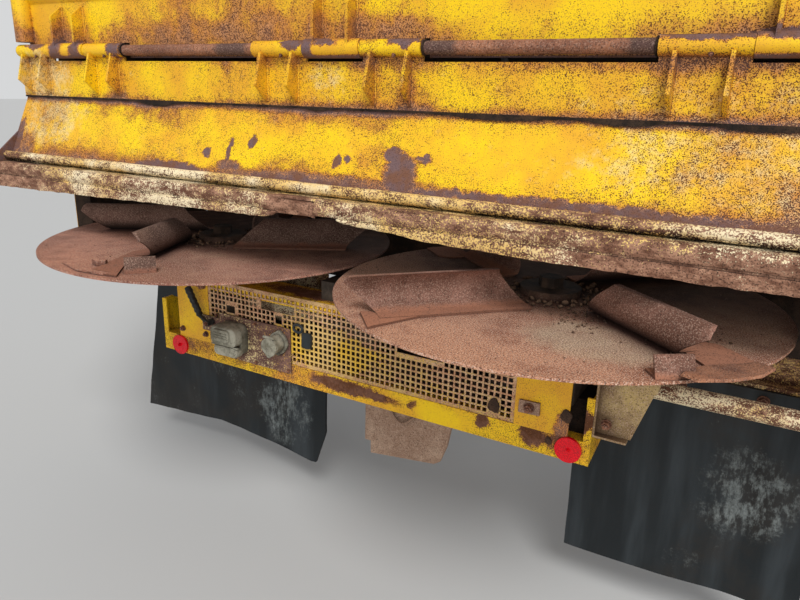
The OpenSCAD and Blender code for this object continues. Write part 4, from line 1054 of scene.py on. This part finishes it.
def make_disc_crumbs(side, body, name, thick):
    """Crumbs on one disc: all over, coarser near the hub, in thick patches, and a ring of lumps."""
    draw = random.Random(name)
    places, sizes = [], []

    def drop(out, turn, grain, rise=0.25):
        places.append((side * DISC_X + out * math.cos(turn), DISC_Y + out * math.sin(turn),
                       DISC_TOP_Z + rise * grain))
        sizes.append(grain)

    loose, coarse, in_patch, lumps = 160, 120, 80, 13
    for _ in range(loose):
        out = (DISC_R - 0.012) * math.sqrt(draw.random())
        drop(out, draw.uniform(0, 2 * math.pi), draw.uniform(0.0010, 0.0024))
    hub_r, coarse_r = 0.075, 0.15
    for _ in range(coarse):
        out = hub_r + (coarse_r - hub_r) * draw.random()
        drop(out, draw.uniform(0, 2 * math.pi), draw.uniform(0.003, 0.009))
    for x, y, reach in thick:
        for _ in range(in_patch):
            grain = draw.uniform(0.0012, 0.0045)
            place = Vector((x + draw.gauss(0, reach / 2.2), y + draw.gauss(0, reach / 2.2)))
            if (place - Vector((side * DISC_X, DISC_Y))).length < DISC_R - 0.01:
                places.append((place.x, place.y, DISC_TOP_Z + 0.25 * grain))
                sizes.append(grain)
    for k in range(lumps):
        turn = 2 * math.pi * k / lumps + draw.uniform(-0.25, 0.25)
        grain = draw.uniform(0.005, 0.014)
        drop(draw.uniform(0.080, 0.115), turn, grain, 0.3)
    make_crumbs("crumbs_" + name, body, places, sizes, 3 + side)


def flake(form, outline, lift, curl):
    """Adds a thin curled flake on a disc, with the side towards the rear lifted."""
    middle = Vector((sum(x for x, y in outline), sum(y for x, y in outline))) / len(outline)
    loft(form, [[(middle.x + (x - middle.x) * share, middle.y + (y - middle.y) * share,
                  DISC_TOP_Z + height + curl * max(0.0, (middle.y - y)) / 0.06) for x, y in outline]
                for height, share in ((0.0004, 1.0), (lift, 0.96))])


def make_disc_dirt():
    """Crumbs on the discs, and the flakes that hang at the brackets."""
    make_disc_crumbs(-1, "disc_left", "left", [(-0.38, -0.86, 0.10), (-0.60, -0.80, 0.10)])
    make_disc_crumbs(1, "disc_right", "right", [(0.90, -1.05, 0.12), (0.66, -1.02, 0.10)])
    form = bmesh.new()
    flake(form, [(-0.594, -1.306), (-0.562, -1.318), (-0.544, -1.302), (-0.558, -1.284),
                 (-0.586, -1.288)], 0.014, 0.0)
    flake(form, [(-0.655, -1.352), (-0.560, -1.379), (-0.470, -1.372), (-0.455, -1.352),
                 (-0.500, -1.352), (-0.560, -1.356), (-0.620, -1.340)], 0.005, 0.004)
    settle("disc_flakes_left", form, "disc_left", "disc_left", angle=20)
    form = bmesh.new()
    flake(form, [(0.905, -1.262), (0.935, -1.285), (0.985, -1.235), (1.030, -1.165), (1.050, -1.110),
                 (1.020, -1.095), (0.985, -1.130), (0.940, -1.165), (0.915, -1.205)], 0.006, 0.008)
    flake(form, [(0.412, -1.026), (0.420, -1.044), (0.438, -1.046), (0.448, -1.030), (0.440, -1.014),
                 (0.422, -1.012)], 0.016, 0.0)
    settle("disc_flakes_right", form, "shaft", "disc_right", angle=20)


def pad(form, centre, size, back, front, round_off, shrink=1.0):
    """Adds a block with rounded corners, from its front face to its back face, which may be smaller."""
    sides = 4
    rings = []
    for y, scale in ((front, 1.0), (back + 0.004, (1.0 + shrink) / 2), (back + 0.001, shrink * 0.985),
                     (back, shrink * 0.95)):
        ring = []
        for sx, sz, start in ((1, 1, 0), (-1, 1, 90), (-1, -1, 180), (1, -1, 270)):
            for k in range(sides + 1):
                turn = math.radians(start + 90 * k / sides)
                ring.append((
                    centre[0] + scale * (sx * (size[0] / 2 - round_off) + round_off * math.cos(turn)), y,
                    centre[1] + scale * (sz * (size[1] / 2 - round_off) + round_off * math.sin(turn))))
        rings.append(ring)
    loft(form, rings)


def make_sockets():
    """The two sockets: a large one with a ribbed lid and its hinge, and a small round one."""
    form = bmesh.new()
    pad(form, (-0.390, -0.369), (0.098, 0.096), -1.016, -0.984, 0.022)
    pad(form, (-0.390, -0.352), (0.106, 0.062), -1.044, -1.014, 0.020, 0.90)
    pad(form, (-0.392, -0.348), (0.066, 0.040), -1.050, -1.040, 0.012, 0.94)
    pad(form, (-0.388, -0.400), (0.096, 0.034), -1.038, -1.012, 0.014, 0.92)
    for z in (-0.340, -0.348, -0.356):
        tube(form, [(-0.418, -1.0500, z), (-0.366, -1.0500, z)], 0.0016)
    tube(form, [(-0.440, -1.034, -0.3835), (-0.338, -1.034, -0.3835)], 0.0032, 10)
    settle("socket_large_worn", form, "socket", "frame", ["socket_large"], 30)

    form = bmesh.new()
    middle_x, middle_z = -0.217, -0.352
    rim = []
    for k, (c, s) in enumerate(circle(28)):
        lug = 0.006 if k in (6, 7, 20, 21) else 0.0
        reach = 0.033 + 0.005 * ripple(c, s, 0.7, 3.0) + lug
        rim.append((middle_x + reach * c, middle_z + reach * s))
    loft(form, [[(x, y, z) for x, z in rim] for y in (-0.984, -0.992)])
    lid = ((-0.990, 0.74), (-1.022, 0.74), (-1.026, 0.86), (-1.034, 0.84), (-1.038, 0.62))
    loft(form, [[(middle_x + share * (x - middle_x), y, middle_z + share * (z - middle_z)) for x, z in rim]
                for y, share in lid])
    tube(form, [(-0.236, -1.033, -0.322), (-0.198, -1.033, -0.322)], 0.004)
    for k in range(5):
        turn = math.radians(-150 + 30 * k)
        tube(form, [(middle_x + reach * math.cos(turn), -1.0375, middle_z + reach * math.sin(turn))
                    for reach in (0.005, 0.019)], 0.0016)
    settle("socket_small_worn", form, "socket", "frame", ["socket_small"], 30)


def make_lever():
    """The lever beside the sockets: a bent rod with a ribbed grip, on its pin."""
    form = bmesh.new()
    path = [(-0.486, -1.003, -0.338), (-0.494, -1.005, -0.333), (-0.505, -1.005, -0.326),
            (-0.516, -1.005, -0.319)]
    radii = [0.0068, 0.0066, 0.0064, 0.0064]
    grip_low, grip_top = Vector((-0.518, -1.005, -0.315)), Vector((-0.565, -1.005, -0.231))
    count, ribs = 30, 6
    for k in range(count + 1):
        share = k / count
        path.append(tuple(grip_low.lerp(grip_top, share)))
        rib = 0.0009 * math.cos(2 * math.pi * ribs * share)
        end = math.sqrt(max(0.0, 1 - max(0.0, (share - 0.93) / 0.07) ** 2))
        radii.append(max(0.002, (0.0102 + 0.0012 * share + rib) * (0.35 + 0.65 * end)))
    tube(form, path, radii, 16)
    tube(form, [(-0.486, -0.984, -0.338), (-0.486, -1.012, -0.338)], 0.0100, 14)
    settle("lever_ribbed", form, "grip", "frame", ["lever"])


def make_bolt_plate():
    """The small bolt plate on the lamp board, and the half loop of rod on the tow bracket."""
    form = bmesh.new()
    face_y = BOARD_BACK_Y - 0.0004
    plate(form, [(0.531, face_y, -0.376), (0.585, face_y, -0.374), (0.584, face_y, -0.341),
                 (0.532, face_y, -0.343)], (0, -0.006, 0))
    loop = []
    for k in range(15):
        t = k / 14
        bow = math.sin(math.pi * t)
        loop.append((-0.065 + 0.097 * t, -0.578 - 0.010 * bow, -0.700 - 0.006 * t - 0.034 * bow))
    tube(form, [(-0.065, -0.566, -0.690)] + loop + [(0.032, -0.566, -0.700)], 0.0036)
    settle("bolt_plate", form, "plate", "frame")


def make_cable_ring():
    """The rubber cable ring on the guard, and the torn piece of rubber below it."""
    form = bmesh.new()
    ring = [(-0.146 + 0.0165 * c, -0.986, -0.294 + 0.0115 * s) for c, s in circle(18)]
    tube(form, ring[:17] + [ring[0]], 0.0042)
    torn = [(-0.134, -0.346), (-0.120, -0.351), (-0.102, -0.348), (-0.099, -0.312), (-0.106, -0.303),
            (-0.131, -0.305)]
    plate(form, [(x, -0.9785, z) for x, z in torn], (0, -0.009, 0))
    settle("cable_ring", form, "grip", "frame")


def make_board_bolts():
    """Bolts on the bolt plate, lamp panels, sockets, lever, tail plate and mudflaps, and reflector screws."""
    face_y = BOARD_BACK_Y - 0.0005
    panel_screws = [(x, z) for x in (-0.622, -0.520) for z in (-0.228, -0.388)]
    panel_screws += [(0.640, -0.232), (0.536, -0.232)]
    socket_screws = [(x, z) for x in (-0.466, -0.310) for z in (-0.436, -0.312)] + [(-0.185, -0.436)]
    mudflap_bolts = [(x, -0.345) for x in (-1.04, -0.86, -0.68, -0.50, -0.36, 0.66, 0.86, 1.053, 1.18)]
    groups = [([(0.558, -0.359)], BOARD_BACK_Y - 0.006, 0.021), (panel_screws, face_y, 0.015),
              (socket_screws, -0.9843, 0.009), ([(-0.486, -0.338)], -1.011, 0.012),
              ([(0.742, -0.245), (0.742, -0.355)], -0.9785, 0.020), (mudflap_bolts, -0.6605, 0.024)]
    make_bolts("board_bolts", "shaft", "rusty_steel", [
        ((x, y, z), REARWARD, width) for spots, y, width in groups for x, z in spots])
    make_bolts("reflector_screws", "red", "reflector_red", [
        ((x, -0.9872, z), REARWARD, 0.011) for x, z in ((-0.637, -0.447), (0.662, -0.443))])


def make_board_flakes():
    """Three loose flakes of rust on the lamp board."""
    form = bmesh.new()
    for x, z, reach, y in ((0.466, -0.379, 0.019, -0.9783), (0.650, -0.358, 0.017, -0.9803),
                           (0.612, -0.434, 0.010, -0.9803)):
        outline = []
        for c, s in circle(14):
            out = reach * (1 + 0.35 * ripple(c, s, 0.8, x))
            outline.append((x + 0.9 * out * c, y, z + out * s))
        plate(form, outline, (0, -0.004, 0))
    settle("board_flakes", form, "inner", "frame")


def make_side_trim():
    """Bolts and plugs on the chain case, the bearings and the gearboxes."""
    bolts = []

    def on_case(y, z, width=0.019):
        bolts.append(((CASE_OUT_X, y, z), (1, 0, 0), width))

    bolt_inset = 0.016
    rim, foot = 0.105 - bolt_inset, 0.080 - bolt_inset
    for z, turns in ((BEATER_Z[1], range(0, 181, 36)), (BEATER_Z[0], (0, 180))):
        for turn in turns:
            on_case(BEATER_Y + rim * math.cos(math.radians(turn)), z + rim * math.sin(math.radians(turn)))
    for side in (-1, 1):
        for z in (0.54, 0.70, 0.86):
            on_case(BEATER_Y + side * rim, z)
    slope = math.atan2(BEATER_Z[0] - DRIVE_Z, BEATER_Y - DISC_Y)
    for degrees in (90, 135, 180, 225, 270):
        turn = slope + math.radians(degrees)
        on_case(DISC_Y + foot * math.cos(turn), DRIVE_Z + foot * math.sin(turn))
    for share in (0.25, 0.5, 0.75):
        y, z = DISC_Y + (BEATER_Y - DISC_Y) * share, DRIVE_Z + (BEATER_Z[0] - DRIVE_Z) * share
        reach = foot + (rim - foot) * share
        for side in (-1, 1):
            on_case(y - side * reach * math.sin(slope), z + side * reach * math.cos(slope))
    for z in BEATER_Z:
        on_case(BEATER_Y, z, 0.032)
    corners = [(a, b) for a in (-1, 1) for b in (-1, 1)]
    bearing_out_x, gearbox_back_y, gearbox_z = -1.196, -0.956, -0.245
    for z in BEATER_Z:
        bolts += [((bearing_out_x, BEATER_Y + a * 0.060, z + b * 0.060), (-1, 0, 0), 0.026)
                  for a, b in corners]
    for side in (-1, 1):
        bolts += [((side * DISC_X + a * 0.085, gearbox_back_y, gearbox_z + b * 0.070), REARWARD, 0.018)
                  for a, b in corners]
        bolts.append(((side * DISC_X, gearbox_back_y, -0.215), REARWARD, 0.024))
    make_bolts("housing_bolts", "shaft", "bare_shaft", bolts)


def place_camera():
    camera = add_object("photo_camera", bpy.data.cameras.new("photo_camera"))
    camera.data.sensor_width = SENSOR_WIDTH
    camera.data.lens = FOCAL_PIXELS * SENSOR_WIDTH / PHOTO_WIDTH
    turn = (Matrix.Rotation(math.radians(CAMERA_YAW), 4, "Z")
            @ Matrix.Rotation(math.radians(90 - CAMERA_PITCH), 4, "X")
            @ Matrix.Rotation(math.radians(CAMERA_ROLL), 4, "Z"))
    camera.matrix_world = Matrix.Translation(CAMERA_PLACE) @ turn
    bpy.context.scene.camera = camera


def lay_floor():
    mesh = bpy.data.meshes.new("studio_floor")
    corners = [(x * FLOOR_HALF, y * FLOOR_HALF, FLOOR_Z) for x, y in ((-1, -1), (1, -1), (1, 1), (-1, 1))]
    mesh.from_pydata(corners, [], [(0, 1, 2, 3)])
    floor = add_object("studio_floor", mesh)
    finish = Finish("floor_pale", roughness=0.9)
    finish.colour(tone(196, 196, 194))
    mesh.materials.append(finish.material)


def light_studio():
    world = bpy.data.worlds.new("studio_sky")
    bpy.context.scene.world = world
    world.use_nodes = True
    graph = Graph(world.node_tree)
    sky = graph.tree.nodes["Background"]
    sky.inputs["Color"].default_value = tone(248, 250, 255)
    sky.inputs["Strength"].default_value = SKY_LEVEL
    backdrop = graph.node("ShaderNodeBackground", {"Color": tone(214, 215, 216)})
    rays = graph.node("ShaderNodeLightPath").outputs
    seen = graph.math("MAXIMUM", rays["Is Camera Ray"], rays["Is Glossy Ray"])
    shown = graph.node("ShaderNodeMixShader", {0: seen, 1: sky.outputs[0], 2: backdrop.outputs[0]})
    graph.feed(graph.tree.nodes["World Output"].inputs[0], shown.outputs[0])

    for name, power, wide, turns in (("soft_sun", SUN_LEVEL, SUN_ANGLE, SUN_TURN),
                                     ("low_fill", FILL_LEVEL, FILL_ANGLE, FILL_TURN)):
        sun = add_object(name, bpy.data.lights.new(name, "SUN"))
        sun.data.energy = power
        sun.data.angle = math.radians(wide)
        sun.rotation_euler = [math.radians(turn) for turn in turns]


place_camera()
lay_floor()
light_studio()
finish_nodes()
make_skirt()
make_lip()
make_seal_and_shadow_line()
make_mudflaps()
make_guard()
make_hinge_trim()
make_disc_dirt()
make_sockets()
make_lever()
make_bolt_plate()
make_cable_ring()
make_board_bolts()
make_board_flakes()
make_side_trim()

bpy.context.scene.view_settings.view_transform = "Standard"
